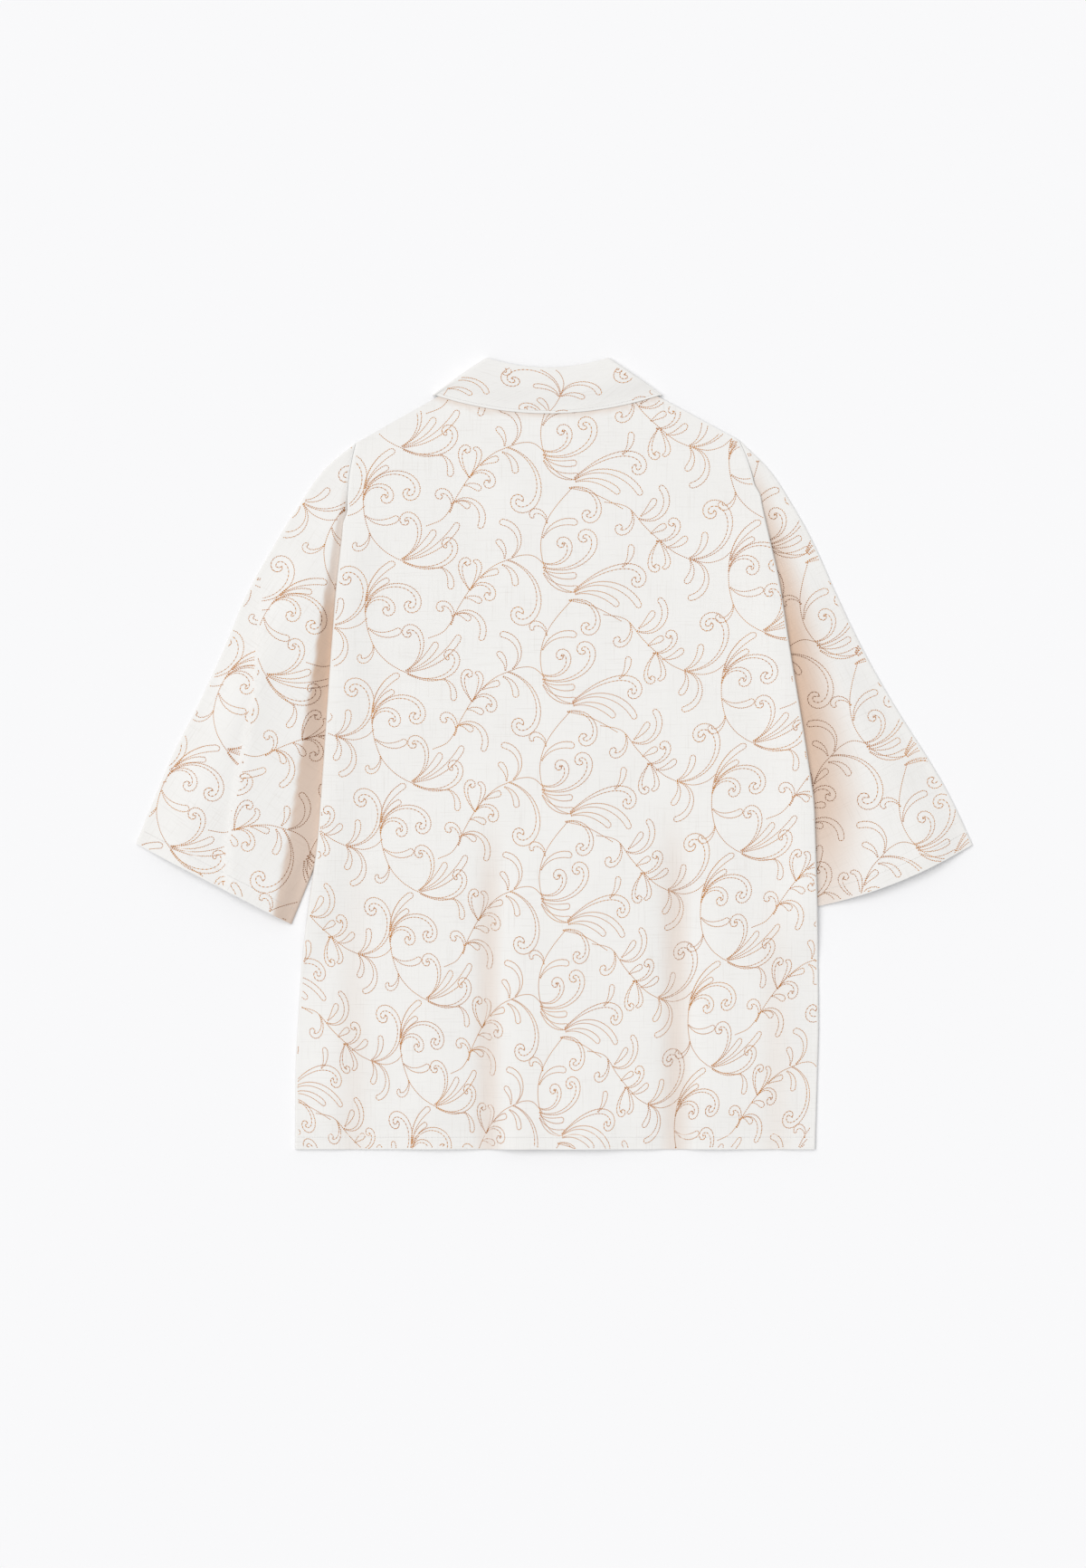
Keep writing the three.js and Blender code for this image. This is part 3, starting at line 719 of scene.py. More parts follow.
# Each spray: the place of its node in the repeat, its stems and its leaves.
Spray = namedtuple("Spray", "x y stems leaves")
SPRAYS = (
    Spray(
        -175, 92,
        stems=(
            ((0, 0), (-14, 9), (-27, 24), (-34, 44), (-36, 62), (-35, 80), (-29, 98), (-18, 113)),
            ((0, 0), (24, -9), (50, -11)),
        ),
        leaves=(
            Leaf(-35, 76, 78, 57, -52, 0, 6.4, 1),
            Leaf(-34, 77, 62, 36, -40, 0, 5.4, 1),
            Leaf(-35, 70, 69, 110, -167, -235, CURL, 1),
            Leaf(-36, 64, 84, 65, -210, -230, CURL, 1),
            Leaf(-34, 47, -41, 40, 78, 0, PLUME, -1),
            Leaf(-29, 28, -85, 36, -110, -170, 5.0, -1),
            Leaf(8, 0, 30, 82, 130, 250, CURL, -1),
            Leaf(6, -1, 21, 50, 40, 0, PLUME, -1),
            Leaf(8, -2, 8, 76, 52, 0, PLUME, -1),
            Leaf(8, -4, -29, 96, 110, 230, CURL, -1),
            Leaf(50, -10, -30, 28, -80, 0, CLUB, 1),
        ),
    ),
    Spray(
        -52, 90,
        stems=(
            ((0, 0), (15, 5), (30, 4), (44, -8)),
            ((0, 0), (-14, -6), (-28, -17), (-42, -33), (-55, -53), (-63, -68), (-73, -80), (-90, -87)),
        ),
        leaves=(
            Leaf(5, 3, 39, 54, 142, 0, 6.2, -1),
            Leaf(-3, 1, 82, 24, 64, 0, 5.8, -1),
            Leaf(0, 0, -16, 127, -150, -240, 6.0, 1),
            Leaf(-6, -5, -20, 30, -78, 0, 6.2, 1),
            Leaf(-30, -20, 30, 22, -20, 0, CLUB, 1),
            Leaf(-48, -42, 10, 20, -50, 0, CLUB, 1),
            Leaf(-57, -60, 0, 17, -50, 0, CLUB, 1),
            Leaf(-42, -34, 58, 52, -190, -240, CURL, 1),
            Leaf(-62, -63, 44, 60, -170, 0, 6.0, 1),
            Leaf(-64, -72, 56, 45, 150, 230, CURL, -1),
            Leaf(-42, -33, 126, 50, -50, -330, 4.4, 1),
            Leaf(-40, -31, 60, 36, 20, 110, 5.0, -1),
        ),
    ),
    Spray(
        22, 54,
        stems=(
            ((0, 0), (-14, 5), (-27, 17), (-34, 32), (-37, 50), (-35, 66), (-29, 82), (-18, 98), (-3, 115)),
            ((-4, -9), (18, -14), (36, -22), (54, -32)),
        ),
        leaves=(
            Leaf(0, 2, 42, 114, -54, -270, 6.0, 1),
            Leaf(0, 0, 36, 86, -98, 0, PLUME, 1),
            Leaf(1, -2, 16, 53, -62, 0, PLUME, 1),
            Leaf(-6, -9, 16, 84, -180, -220, CURL, 1),
            Leaf(53, 28, 40, 28, 60, 0, CLUB, -1),
            Leaf(-30, 76, 92, 32, 120, 160, 5.0, -1),
            Leaf(-35, 60, 64, 46, -82, 0, PLUME, 1),
            Leaf(-35, 33, -22, 68, 170, 260, CURL, -1),
            Leaf(-35, 28, -17, 108, 118, 260, 5.8, -1),
            Leaf(-34, 25, -30, 38, 44, 0, CLUB, -1),
            Leaf(-34, 22, -62, 46, 78, 0, 6.4, -1),
        ),
    ),
    Spray(
        149, 91,
        stems=(
            ((0, 0), (-17, 8), (-34, 22), (-50, 37), (-64, 54), (-75, 60), (-94, 63)),
            ((0, 0), (20, -4), (36, 0), (46, 8)),
        ),
        leaves=(
            Leaf(-54, 47, 40, 26, 20, 0, CLUB, -1),
            Leaf(-56, 45, -25, 62, 165, 0, 6.0, -1),
            Leaf(-43, 28, 34, 20, -10, 0, CLUB, -1),
            Leaf(-37, 20, -6, 52, 120, 270, CURL, -1),
            Leaf(-26, 13, 4, 27, 46, 0, CLUB, -1),
            Leaf(0, 1, 22, 36, 76, 0, CLUB, -1),
            Leaf(0, 0, -3, 132, 174, 250, 6.2, -1),
            Leaf(4, -1, -16, 60, -160, 0, 6.0, 1),
            Leaf(1, -1, -62, 28, -80, 0, CLUB, 1),
            Leaf(-64, 54, -66, 46, -130, -240, CURL, 1),
            Leaf(-34, 20, -126, 48, 50, 330, 4.4, -1),
            Leaf(-32, 19, -60, 34, -20, -110, 5.0, 1),
        ),
    ),
)
COLUMN_STEP = 404
COLUMN_DROP = 65
COLUMN_BOW = 14
SCALLOP = 1.1
CURL_POWER = 6
CURL_TURN = 1.35
LEAF_BASE = 0.16
FULL_WIDTH_PLACE = 0.78
CURL_SLIMMING = 0.34
CURL_SLIMS = (0.7, 0.95)
SCALLOPS_GROW = (0.12, 0.3)
SCALLOPS_FADE = (0.9, 0.97)


def leaf_outline(leaf, bump=0.0):
    """The outline of a leaf. Its centre line starts at the heading and turns by
    bend * t + 1.35 * curl * t^6, so that a curl ends in a small spiral. Its width grows
    from a sixth at the base to full at three quarters, narrows by a third in a spiral and
    closes in a round tip. bump moves the wavy side outwards, except near both ends."""
    t = np.linspace(0, 1, 220)
    heading = np.radians(leaf.heading + leaf.bend * t + CURL_TURN * leaf.curl * t**CURL_POWER)
    step = leaf.length / (len(t) - 1)
    along = np.stack([np.cos(heading), np.sin(heading)], 1) * step
    centre = np.concatenate([[[0, 0]], np.cumsum(along[:-1], axis=0)]) + (leaf.x, leaf.y)
    across = np.stack([-np.sin(heading), np.cos(heading)], 1)
    tip = leaf.width / 2 / leaf.length
    swell = leaf.width / 2 * (LEAF_BASE + (1 - LEAF_BASE) * smoothstep(t, 0, FULL_WIDTH_PLACE))
    if leaf.curl:
        swell = swell * (1 - CURL_SLIMMING * smoothstep(t, *CURL_SLIMS))
    half = swell * np.sqrt(1 - np.clip((t - 1 + tip) / tip, 0, 1) ** 2)
    bumps = bump * smoothstep(t, *SCALLOPS_GROW) * (1 - smoothstep(t, *SCALLOPS_FADE))
    left = centre + across * (half + bumps * (leaf.wavy > 0))[:, None]
    right = centre - across * (half + bumps * (leaf.wavy < 0))[:, None]
    return np.concatenate([left, right[::-1]])


def chart_stitches(pitch):
    """Every stitch of one repeat as (start, end) pairs, one pitch apart along its line.
    Every other point of a leaf's outline lies on the bumped outline: these are the
    scallops, two stitches each."""
    starts, ends = [], []
    for spray in SPRAYS:
        lines = [(smooth_curve(stem, 120),) * 2 for stem in spray.stems]
        lines += [(leaf_outline(leaf), leaf_outline(leaf, SCALLOP)) for leaf in spray.leaves]
        for plain, bumped in lines:
            length = np.linalg.norm(np.diff(plain, axis=0), axis=1).sum()
            shares = np.linspace(0, 1, max(3, round(length / pitch)) + 1)
            points = even_steps(plain, shares)
            points[1::2] = even_steps(bumped, shares)[1::2]
            points += (spray.x, spray.y)
            starts.append(points[:-1])
            ends.append(points[1:])
    return np.concatenate(starts), np.concatenate(ends)


def repeat_over(stitches, drop, low, high):
    """The repeat laid over a rectangle: rows one drop apart, columns one step apart, each
    column c lower than the first by 65 c + 14 c^2."""
    first, last = math.floor(low[0] / COLUMN_STEP), math.ceil(high[0] / COLUMN_STEP)
    columns = np.arange(first - 1, last + 2)
    sunk = COLUMN_DROP * columns + COLUMN_BOW * columns**2
    reach = (low[1] + sunk.min(), high[1] + sunk.max())
    rows = np.arange(math.floor(reach[0] / drop) - 2, math.ceil(reach[1] / drop) + 3)
    shift_y = rows[None, :] * drop - sunk[:, None]
    shift_x = np.broadcast_to(columns[:, None] * COLUMN_STEP, shift_y.shape)
    shift = np.stack([shift_x, shift_y], -1).reshape(-1, 1, 2)
    start, end = ((part[None] + shift).reshape(-1, 2) for part in stitches)
    kept = ((start > low) & (start < high)).all(1)
    return start[kept], end[kept]


CHEST_Y = 217
GATHER_CENTRE = -28
GATHER_DEPTH = 1740
GATHER_POWER = 1.31
GATHER_LIFT = 20000


def gathered(points):
    """The pattern as it lies on the back, whose soft folds take up cloth towards the hem:
    at depth d below the chest it is narrower by (d / 1740)^1.31 and d^2 / 20000 higher."""
    depth = np.maximum(CHEST_Y - points[:, 1], 0)
    narrowed = 1 - (depth / GATHER_DEPTH) ** GATHER_POWER
    x = GATHER_CENTRE + (points[:, 0] - GATHER_CENTRE) * narrowed
    return np.column_stack([x, points[:, 1] + depth**2 / GATHER_LIFT])


def laid_on(stitches, inside, height, length_share=0.9):
    """Stitches that lie inside a piece, as 3-D starts, middles and ends on its face."""
    start, end = stitches
    kept = inside(start[:, 0], start[:, 1]) & inside(end[:, 0], end[:, 1])
    start, end = start[kept], end[kept]
    middle = (start + end) / 2
    start, end = lerp(middle, start, length_share), lerp(middle, end, length_share)
    return [np.column_stack([p, height(p[:, 0], p[:, 1])]) for p in (start, middle, end)]


THREAD_END_LIFT = 0.06


def stitch_mesh(name, threads, up, width, height, material, painted_shade=None):
    """One slim double pyramid for each stitch: two pointed ends and a three-cornered middle, its ridge
    raised from the cloth by height along up (1 or -1). painted_shade gives each stitch's share of painted
    shade in a fold."""
    start, middle, end = threads
    along = end - start
    along = along / np.maximum(np.linalg.norm(along, axis=1), 1e-9)[:, None]
    out = np.zeros_like(start)
    out[:, 2] = up
    across = np.cross(out, along)
    across = across / np.maximum(np.linalg.norm(across, axis=1), 1e-9)[:, None]
    ridge = np.cross(along, across)
    ends = ridge * THREAD_END_LIFT
    points = np.stack([start + ends, end + ends, middle + ridge * height,
                       middle + across * width / 2, middle - across * width / 2], 1)
    corners = np.array([(0, 2, 3), (0, 4, 2), (0, 3, 4), (1, 3, 2), (1, 2, 4), (1, 4, 3)])
    faces = (corners[None] + np.arange(len(start))[:, None, None] * 5).reshape(-1, 3)
    if painted_shade is None:
        painted_shade = np.zeros(len(start))
    return to_object(name, points.reshape(-1, 3), faces, None, material, np.repeat(painted_shade, 5))


def run_of_stitches(line, pitch):
    """Stitches along a plan line, as (start, end) pairs one pitch apart."""
    length = np.linalg.norm(np.diff(line, axis=0), axis=1).sum()
    points = even_steps(line, np.linspace(0, 1, max(2, round(length / pitch)) + 1))
    return points[:-1], points[1:]


# ---- materials --------------------------------------------------------------------


class Reading:
    """One output socket. Arithmetic on it, from either side, adds Math nodes, and `node`
    adds any other node to the same tree."""

    def __init__(self, tree, socket):
        self.tree = tree
        self.socket = socket

    def node(self, kind, settings=None, inputs=None, output=0):
        """Adds a node, sets its settings, then its input values or links; returns the
        chosen output."""
        made = self.tree.nodes.new(kind)
        for key, value in (settings or {}).items():
            if key == "stops":
                ramp = made.color_ramp
                for stop, (place, colour) in enumerate(value):
                    if stop >= len(ramp.elements):
                        ramp.elements.new(place)
                    ramp.elements[stop].position = place
                    ramp.elements[stop].color = colour
            else:
                setattr(made, key, value)
        for key, value in (inputs or {}).items():
            if isinstance(value, Reading):
                self.tree.links.new(value.socket, made.inputs[key])
            else:
                made.inputs[key].default_value = value
        return Reading(self.tree, made.outputs[output]) if made.outputs else made

    def maths(self, operation, *values):
        """A Math node on one to three values."""
        return self.node("ShaderNodeMath", {"operation": operation}, dict(enumerate(values)))

    def __add__(self, other):
        return self.maths("ADD", self, other)

    def __radd__(self, other):
        return self.maths("ADD", other, self)

    def __sub__(self, other):
        return self.maths("SUBTRACT", self, other)

    def __rsub__(self, other):
        return self.maths("SUBTRACT", other, self)

    def __mul__(self, other):
        return self.maths("MULTIPLY", self, other)

    def __rmul__(self, other):
        return self.maths("MULTIPLY", other, self)

    def __truediv__(self, other):
        return self.maths("DIVIDE", self, other)

    def __rtruediv__(self, other):
        return self.maths("DIVIDE", other, self)

    def stretched(self, x, y, z=1.0):
        """The same coordinates, scaled apart along each axis."""
        return self.node("ShaderNodeVectorMath", {"operation": "MULTIPLY"}, {0: self, 1: (x, y, z)})

    def noise(self, scale, detail=2.0, roughness=0.5):
        """Soft noise between 0 and 1 on these coordinates."""
        return self.node("ShaderNodeTexNoise", None,
                         {"Vector": self, "Scale": scale, "Detail": detail, "Roughness": roughness})

    def between(self, low, high, first=0.0, last=1.0):
        """This value, taken from low..high to first..last and held there."""
        return self.node("ShaderNodeMapRange", {"clamp": True}, {
            "Value": self, "From Min": low, "From Max": high, "To Min": first, "To Max": last,
        })

    def mix(self, first, second):
        """The first colour where this value is 0 and the second where it is 1."""
        return self.node("ShaderNodeMix", {"data_type": "RGBA"},
                         {0: self, 6: first, 7: second}, output=2)

    def with_painted_shade(self, tint):
        """This colour, multiplied by the tint as far as the piece's painted shade attribute says: painted
        shade in the folds.
        """
        depth = self.node("ShaderNodeAttribute", {"attribute_name": "painted_shade"}, output=2)
        return self.node("ShaderNodeMix", {"data_type": "RGBA", "blend_type": "MULTIPLY"},
                         {0: depth, 6: self, 7: tint}, output=2)


# Painted shade: what the cloth's and the thread's colour are multiplied by deep in a fold, standing in for
# the dim, warm light that the cloth around it passes on.
PAINTED_SHADE_TINT = (0.78, 0.57, 0.44, 1.0)
PAINTED_THREAD_SHADE_TINT = (0.18, 0.09, 0.06, 1.0)


def new_material(name, constants):
    """A material with one Principled shader and its constant sockets set. Returns the
    material, the shader node and a Reading of Texture Coordinate's Object output."""
    material = bpy.data.materials.new(name)
    material.use_nodes = True
    tree = material.node_tree
    shader = tree.nodes["Principled BSDF"]
    for key, value in constants.items():
        shader.inputs[key].default_value = value
    place = Reading(tree, tree.nodes.new("ShaderNodeTexCoord").outputs["Object"])
    return material, shader, place


def feed(shader, socket, reading):
    """Links a varying value to one of the shader's sockets."""
    reading.tree.links.new(reading.socket, shader.inputs[socket])


def rgba(colour, factor=1.0):
    """A colour with its brightness scaled, as four numbers."""
    return (colour[0] * factor, colour[1] * factor, colour[2] * factor, 1.0)


def linen_material(sizes, colours):
    """Plain-weave linen on the cloth's own coordinates: two sets of threads as crossing sines, slubs as
    noise drawn out along each set, a faint cloudiness, and sheen. Its colour is darkened by painted shade
    where the piece's painted shade attribute says."""
    material, shader, place = new_material("woven_linen", {
        "Specular IOR Level": 0.22, "Sheen Weight": 0.12, "Sheen Roughness": 0.5,
    })
    cloth = place.node("ShaderNodeUVMap", {"uv_map": "cloth"})
    parts = cloth.node("ShaderNodeSeparateXYZ", None, {0: cloth})
    across = Reading(cloth.tree, parts.socket.node.outputs[0])
    down = Reading(cloth.tree, parts.socket.node.outputs[1])
    turn = 2 * math.pi / sizes.weave_pitch
    warp_slub = cloth.stretched(1 / 0.0016, 1 / 0.05).noise(1.0, 3.0, 0.6)
    weft_slub = cloth.stretched(1 / 0.045, 1 / 0.0016).noise(1.0, 3.0, 0.6)
    cloud = cloth.stretched(1, 1).noise(16.0, 3.0, 0.55)
    warp = (across * turn).maths("SINE", across * turn + warp_slub * 1.5)
    weft = (down * turn).maths("SINE", down * turn + weft_slub * 1.5)
    weave = warp * weft
    slub = warp_slub.between(0.56, 0.74) * 0.5 + weft_slub.between(0.56, 0.74) * 0.5
    pale = rgba(colours.cloth)
    deep = rgba(colours.cloth_slub)
    tone = slub * 1.05 + cloud.between(0.35, 0.7) * 0.14 + weave.between(-1, 0, 0.12, 0)
    # Base colour, darkened by painted shade in the folds.
    feed(shader, "Base Color", tone.mix(pale, deep).with_painted_shade(PAINTED_SHADE_TINT))
    feed(shader, "Roughness", slub.between(0, 1, 0.88, 0.78))
    height = weave * 0.5 + warp_slub * 0.9 + weft_slub * 0.9
    feed(shader, "Normal", height.node("ShaderNodeBump", None,
                                       {"Strength": 0.35, "Distance": 0.00022, "Height": height}))
    return material


def thread_material(name, colour, deep, sheen):
    """Stitching thread: its colour drifts between two tones from stitch to stitch and a fine twist runs
    round it. Its colour is darkened by painted shade where the piece's painted shade attribute says."""
    material, shader, place = new_material(name, {
        "Specular IOR Level": 0.12, "Sheen Weight": sheen, "Sheen Roughness": 0.35,
    })
    patch = place.noise(26.0, 2.0)
    single = place.noise(420.0, 1.0)
    tone = (patch.between(0.35, 0.65) * 0.55 + single.between(0.3, 0.7) * 0.45)
    # Thread colour, darkened by painted shade in the folds.
    feed(shader, "Base Color", tone.mix(rgba(colour), rgba(deep)).with_painted_shade(PAINTED_THREAD_SHADE_TINT))
    feed(shader, "Roughness", single.between(0.3, 0.7, 0.45, 0.65))
    twist = place.node("ShaderNodeTexWave", {"bands_direction": "DIAGONAL"},
                       {"Vector": place, "Scale": 900.0, "Distortion": 1.5}, output=1)
    feed(shader, "Normal", twist.node("ShaderNodeBump", None,
                                      {"Strength": 0.3, "Distance": 0.0001, "Height": twist}))
    return material


def button_material(colours):
    """Shell-like discs: pale cream with drawn-out milky bands and a satin gloss."""
    material, shader, place = new_material("shell_button", {
        "Specular IOR Level": 0.5, "Coat Roughness": 0.15, "IOR": 1.53,
    })
    bands = place.stretched(1, 2.6).noise(240.0, 3.0, 0.55)
    specks = place.noise(1500.0, 1.0)
    tone = bands.between(0.35, 0.68) * 0.8 + specks.between(0.6, 0.75) * 0.2
    feed(shader, "Base Color", tone.mix(rgba(colours.button), rgba(colours.button, 0.82)))
    feed(shader, "Roughness", bands.between(0.3, 0.7, 0.28, 0.42))
    feed(shader, "Coat Weight", bands.between(0.3, 0.7, 0.45, 0.25))
    feed(shader, "Normal", bands.node("ShaderNodeBump", None,
                                      {"Strength": 0.15, "Distance": 0.0002, "Height": bands}))
    return material


def floor_material(colours):
    """A matt pale board with the faintest cloudiness."""
    material, shader, place = new_material("pale_floor", {"Specular IOR Level": 0.0})
    cloud = place.noise(1.5, 2.0)
    tone = cloud.between(0.3, 0.7)
    feed(shader, "Base Color", tone.mix(rgba(colours.floor), rgba(colours.floor, 0.997)))
    feed(shader, "Roughness", cloud.between(0.3, 0.7, 0.94, 0.98))
    return material


def material_named(name, make):
    """The material of that name, made on its first use."""
    return bpy.data.materials.get(name) or make()


def linen():
    """The cloth of every panel."""
    scene = bpy.context.scene
    return material_named("woven_linen", lambda: linen_material(
        scene.shirt_sizes, scene.shirt_colours))


def rust_thread():
    """The thread of the embroidery."""
    colours = bpy.context.scene.shirt_colours
    return material_named("rust_thread", lambda: thread_material(
        "rust_thread", colours.thread, colours.thread_deep, 0.02))


def sewing_thread():
    """The thread of the hems, the plackets and the buttons, in the cloth's own tones."""
    colours = bpy.context.scene.shirt_colours
    return material_named("tonal_thread", lambda: thread_material(
        "tonal_thread", colours.cloth, colours.cloth_slub, 0.1))


# ---- settings ---------------------------------------------------------------------


class ShirtSizes(bpy.types.PropertyGroup):
    """Sizes that a maker would change."""

    cloth_thickness: bpy.props.FloatProperty(
        name="Cloth thickness", description="Thickness of the linen", default=0.0006, unit="LENGTH")
    weave_pitch: bpy.props.FloatProperty(
        name="Weave pitch", description="Distance between neighbouring threads", default=0.00068,
        unit="LENGTH")
    stitch_pitch: bpy.props.FloatProperty(
        name="Stitch pitch", description="Distance between embroidery stitches", default=0.0023,
        unit="LENGTH")
    stitch_width: bpy.props.FloatProperty(
        name="Stitch width", description="Width of an embroidery stitch", default=0.0012, unit="LENGTH")
    stitch_height: bpy.props.FloatProperty(
        name="Stitch height", description="How far a stitch stands proud", default=0.00038, unit="LENGTH")
    drop: bpy.props.FloatProperty(
        name="Drop", description="Height of the embroidery's repeat", default=0.1243, unit="LENGTH")
    seam_pitch: bpy.props.FloatProperty(
        name="Seam stitch", description="Distance between sewing stitches", default=0.003, unit="LENGTH")


class ShirtColours(bpy.types.PropertyGroup):
    """Colours of the cloth, the threads, the buttons and the floor."""

    cloth: bpy.props.FloatVectorProperty(
        name="Cloth", description="Colour of the linen", default=(0.864, 0.856, 0.838), subtype="COLOR")
    cloth_slub: bpy.props.FloatVectorProperty(
        name="Slub", description="Colour of the linen's thicker threads", default=(0.745, 0.72, 0.69),
        subtype="COLOR")
    thread: bpy.props.FloatVectorProperty(
        name="Thread", description="Colour of the embroidery", default=(0.81, 0.33, 0.02), subtype="COLOR")
    thread_deep: bpy.props.FloatVectorProperty(
        name="Deep thread", description="Its darker tone", default=(0.58, 0.185, 0.008), subtype="COLOR")
    button: bpy.props.FloatVectorProperty(
        name="Button", description="Colour of the buttons", default=(0.80, 0.74, 0.64), subtype="COLOR")
    floor: bpy.props.FloatVectorProperty(
        name="Floor", description="Colour of the floor", default=(0.905, 0.905, 0.915), subtype="COLOR")


class StageSettings(bpy.types.PropertyGroup):
    """The camera and the lights."""

    camera_height: bpy.props.FloatProperty(
        name="Camera height", description="Height of the lens above the floor", default=4.815,
        unit="LENGTH")
    lens: bpy.props.FloatProperty(
        name="Lens", description="Focal length", default=100.0, unit="CAMERA")
    sky: bpy.props.FloatProperty(
        name="Sky", description="Strength of the pale surroundings", default=0.50)
    sun: bpy.props.FloatProperty(
        name="Sun", description="Strength of the soft main light", default=1.89)


# ---- pieces -----------------------------------------------------------------------


def body_grid(left, right, neck_y, rows, columns):
    """Plan of a panel between two side lines. Columns are bunched at both sides; rows run
    from the neck and shoulders to the hem, losing the slope of the shoulder as (1-s)^4."""
    share = row_shares(rows)[:, None]
    across = (clustered(columns)[None, :] + 1) / 2
    flat = lerp(SHOULDER_Y, HEM_Y, share)
    level = flat
    x = lerp(left(level), right(level), across)
    for _ in range(2):
        level = flat + (top_edge_y(x, neck_y) - SHOULDER_Y) * (1 - share) ** 4
        x = lerp(left(level), right(level), across)
    return x, level


FLOOR_HALF = 6000
FLOOR_THICKNESS = 20
SENSOR_WIDTH = 36
CAMERA_PLACE = (-0.0125, -0.033)
SUN_SPREAD = 56
SUN_TILT = (-12, -19, 0)
SUN_COLOUR = (1.0, 0.995, 0.985)
SKY_COLOUR = (0.985, 0.99, 1.0, 1.0)


class SHIRT_OT_stage(bpy.types.Operator):
    """Lays the pale floor and sets the camera and the soft light"""

    bl_idname = "shirt.stage"
    bl_label = "Floor, camera and light"

    def execute(self, context):
        stage = context.scene.shirt_stage
        side = np.linspace(-FLOOR_HALF, FLOOR_HALF, 9)
        x, y = np.meshgrid(side, side[::-1])
        top = skin(x, y, np.zeros_like(x))
        floor = shell("floor", top, top - (0, 0, FLOOR_THICKNESS), grain_uv(x, y),
                      floor_material(context.scene.shirt_colours))
        camera = bpy.data.objects.new("camera", bpy.data.cameras.new("camera"))
        camera.data.lens = stage.lens
        camera.data.sensor_width = SENSOR_WIDTH
        camera.location = (*CAMERA_PLACE, stage.camera_height)
        context.scene.collection.objects.link(camera)
        context.scene.camera = camera
        sun = bpy.data.objects.new("soft_sun", bpy.data.lights.new("soft_sun", "SUN"))
        sun.data.energy = stage.sun
        sun.data.angle = math.radians(SUN_SPREAD)
        sun.data.color = SUN_COLOUR
        sun.rotation_euler = [math.radians(tilt) for tilt in SUN_TILT]
        context.scene.collection.objects.link(sun)
        world = bpy.data.worlds.new("pale_surroundings")
        world.use_nodes = True
        background = world.node_tree.nodes["Background"]
        background.inputs["Color"].default_value = SKY_COLOUR
        background.inputs["Strength"].default_value = stage.sky
        context.scene.world = world
        context.scene.view_settings.view_transform = "Standard"
        return {"FINISHED"}


class SHIRT_OT_back(bpy.types.Operator):
    """Builds the back panel"""

    bl_idname = "shirt.back"
    bl_label = "Back"

    def execute(self, context):
        thickness = context.scene.shirt_sizes.cloth_thickness / MM
        left, right = (partial(body_edge_x, side) for side in (LEFT, RIGHT))
        x, y = body_grid(left, right, COLLAR_SEAM.back, 176, 132)
        z = back_top(x, y)
        # The back takes painted shade in its folds and painted shadow under the collar's edge.
        back = shell("back_cloth", skin(x, y, z), skin(x, y, z - thickness),
                     grain_uv(x, y), linen(), back_painted_shade(x, y))
        dressed(back, "linen", "back")
        return {"FINISHED"}


def front_sides(side):
    """The two side lines of a front, the left one first."""
    edges = [partial(front_edge_x, side), partial(front_centre_x, side)]
    return edges if side.sign < 0 else edges[::-1]


class SHIRT_OT_fronts(bpy.types.Operator):
    """Builds the two fronts, which lie underneath and overlap at their buttons"""

    bl_idname = "shirt.fronts"
    bl_label = "Fronts"

    def execute(self, context):
        thickness = context.scene.shirt_sizes.cloth_thickness / MM
        for name, front in FRONTS.items():
            x, y = body_grid(*front_sides(front.side), COLLAR_SEAM.front, 130, 76)
            z = front_under(front, x, y)
            made = shell(f"front_{name}_cloth", skin(x, y, z + thickness), skin(x, y, z),
                         grain_uv(x, y), linen())
            dressed(made, "linen", f"front_{name}")
        return {"FINISHED"}


SIDES = {"left": LEFT, "right": RIGHT}
SLEEVE_GRAIN = {LEFT: -34, RIGHT: 26}
HALF_HOLLOW = 0.05


class SHIRT_OT_sleeves(bpy.types.Operator):
    """Builds the two sleeves as open tubes of cloth, pressed flat"""

    bl_idname = "shirt.sleeves"
    bl_label = "Sleeves"

    def execute(self, context):
        thickness = context.scene.shirt_sizes.cloth_thickness / MM
        across = (1 - np.cos(np.linspace(0, math.pi, 57)))[None, :] / 2
        along = row_shares(92)[:, None]
        for name, side in SIDES.items():
            x, y = sleeve_plan(side, across, along)
            top = sleeve_top(side, x, y)
            under = sleeve_under(side, x, y)
            ring_x, ring_y = there_and_back(x, x), there_and_back(y, y)
            outer = skin(ring_x, ring_y, there_and_back(top, under))
            span = np.hypot(x[:, -1:] - x[:, :1], y[:, -1:] - y[:, :1])
            inset = np.clip(across, thickness / span, 1 - thickness / span)
            inner_x, inner_y = sleeve_plan(side, inset, along)
            low = np.minimum(under + thickness, SLEEVE_MIDDLE - HALF_HOLLOW)
            high = np.maximum(top - thickness, SLEEVE_MIDDLE + HALF_HOLLOW)
            inner = skin(there_and_back(inner_x, inner_x), there_and_back(inner_y, inner_y),
                         there_and_back(high, low))
            uvs = grain_uv(ring_x, ring_y, SLEEVE_GRAIN[side], side.tip)
            # Painted shade on the upper face in the fold beside the body, none on the lower face.
            painted_shade = there_and_back(sleeve_painted_shade(side, x, y), np.zeros_like(x))
            ends = [np.arange(outer.shape[1])[::-1], last_ring(outer)]
            sleeve = shell(f"sleeve_{name}_cloth", outer, inner, uvs, linen(), painted_shade, ends)
            dressed(sleeve, "linen", f"sleeve_{name}")
        return {"FINISHED"}


# ---- collar -----------------------------------------------------------------------


def collar_line(line, reach, front):
    """A line round the flattened collar, at reach 0 (centre) to 1 (side of the neck)."""
    spread = np.where(front & (line is COLLAR_EDGE), COLLAR_POINT_SPREAD, 0)
    x = line.half_width * lerp(spread, 1, reach)
    front_y = lerp(line.front, line.side, reach**line.power)
    back_y = lerp(line.back, line.side, reach**2)
    return x, np.where(front, front_y, back_y)


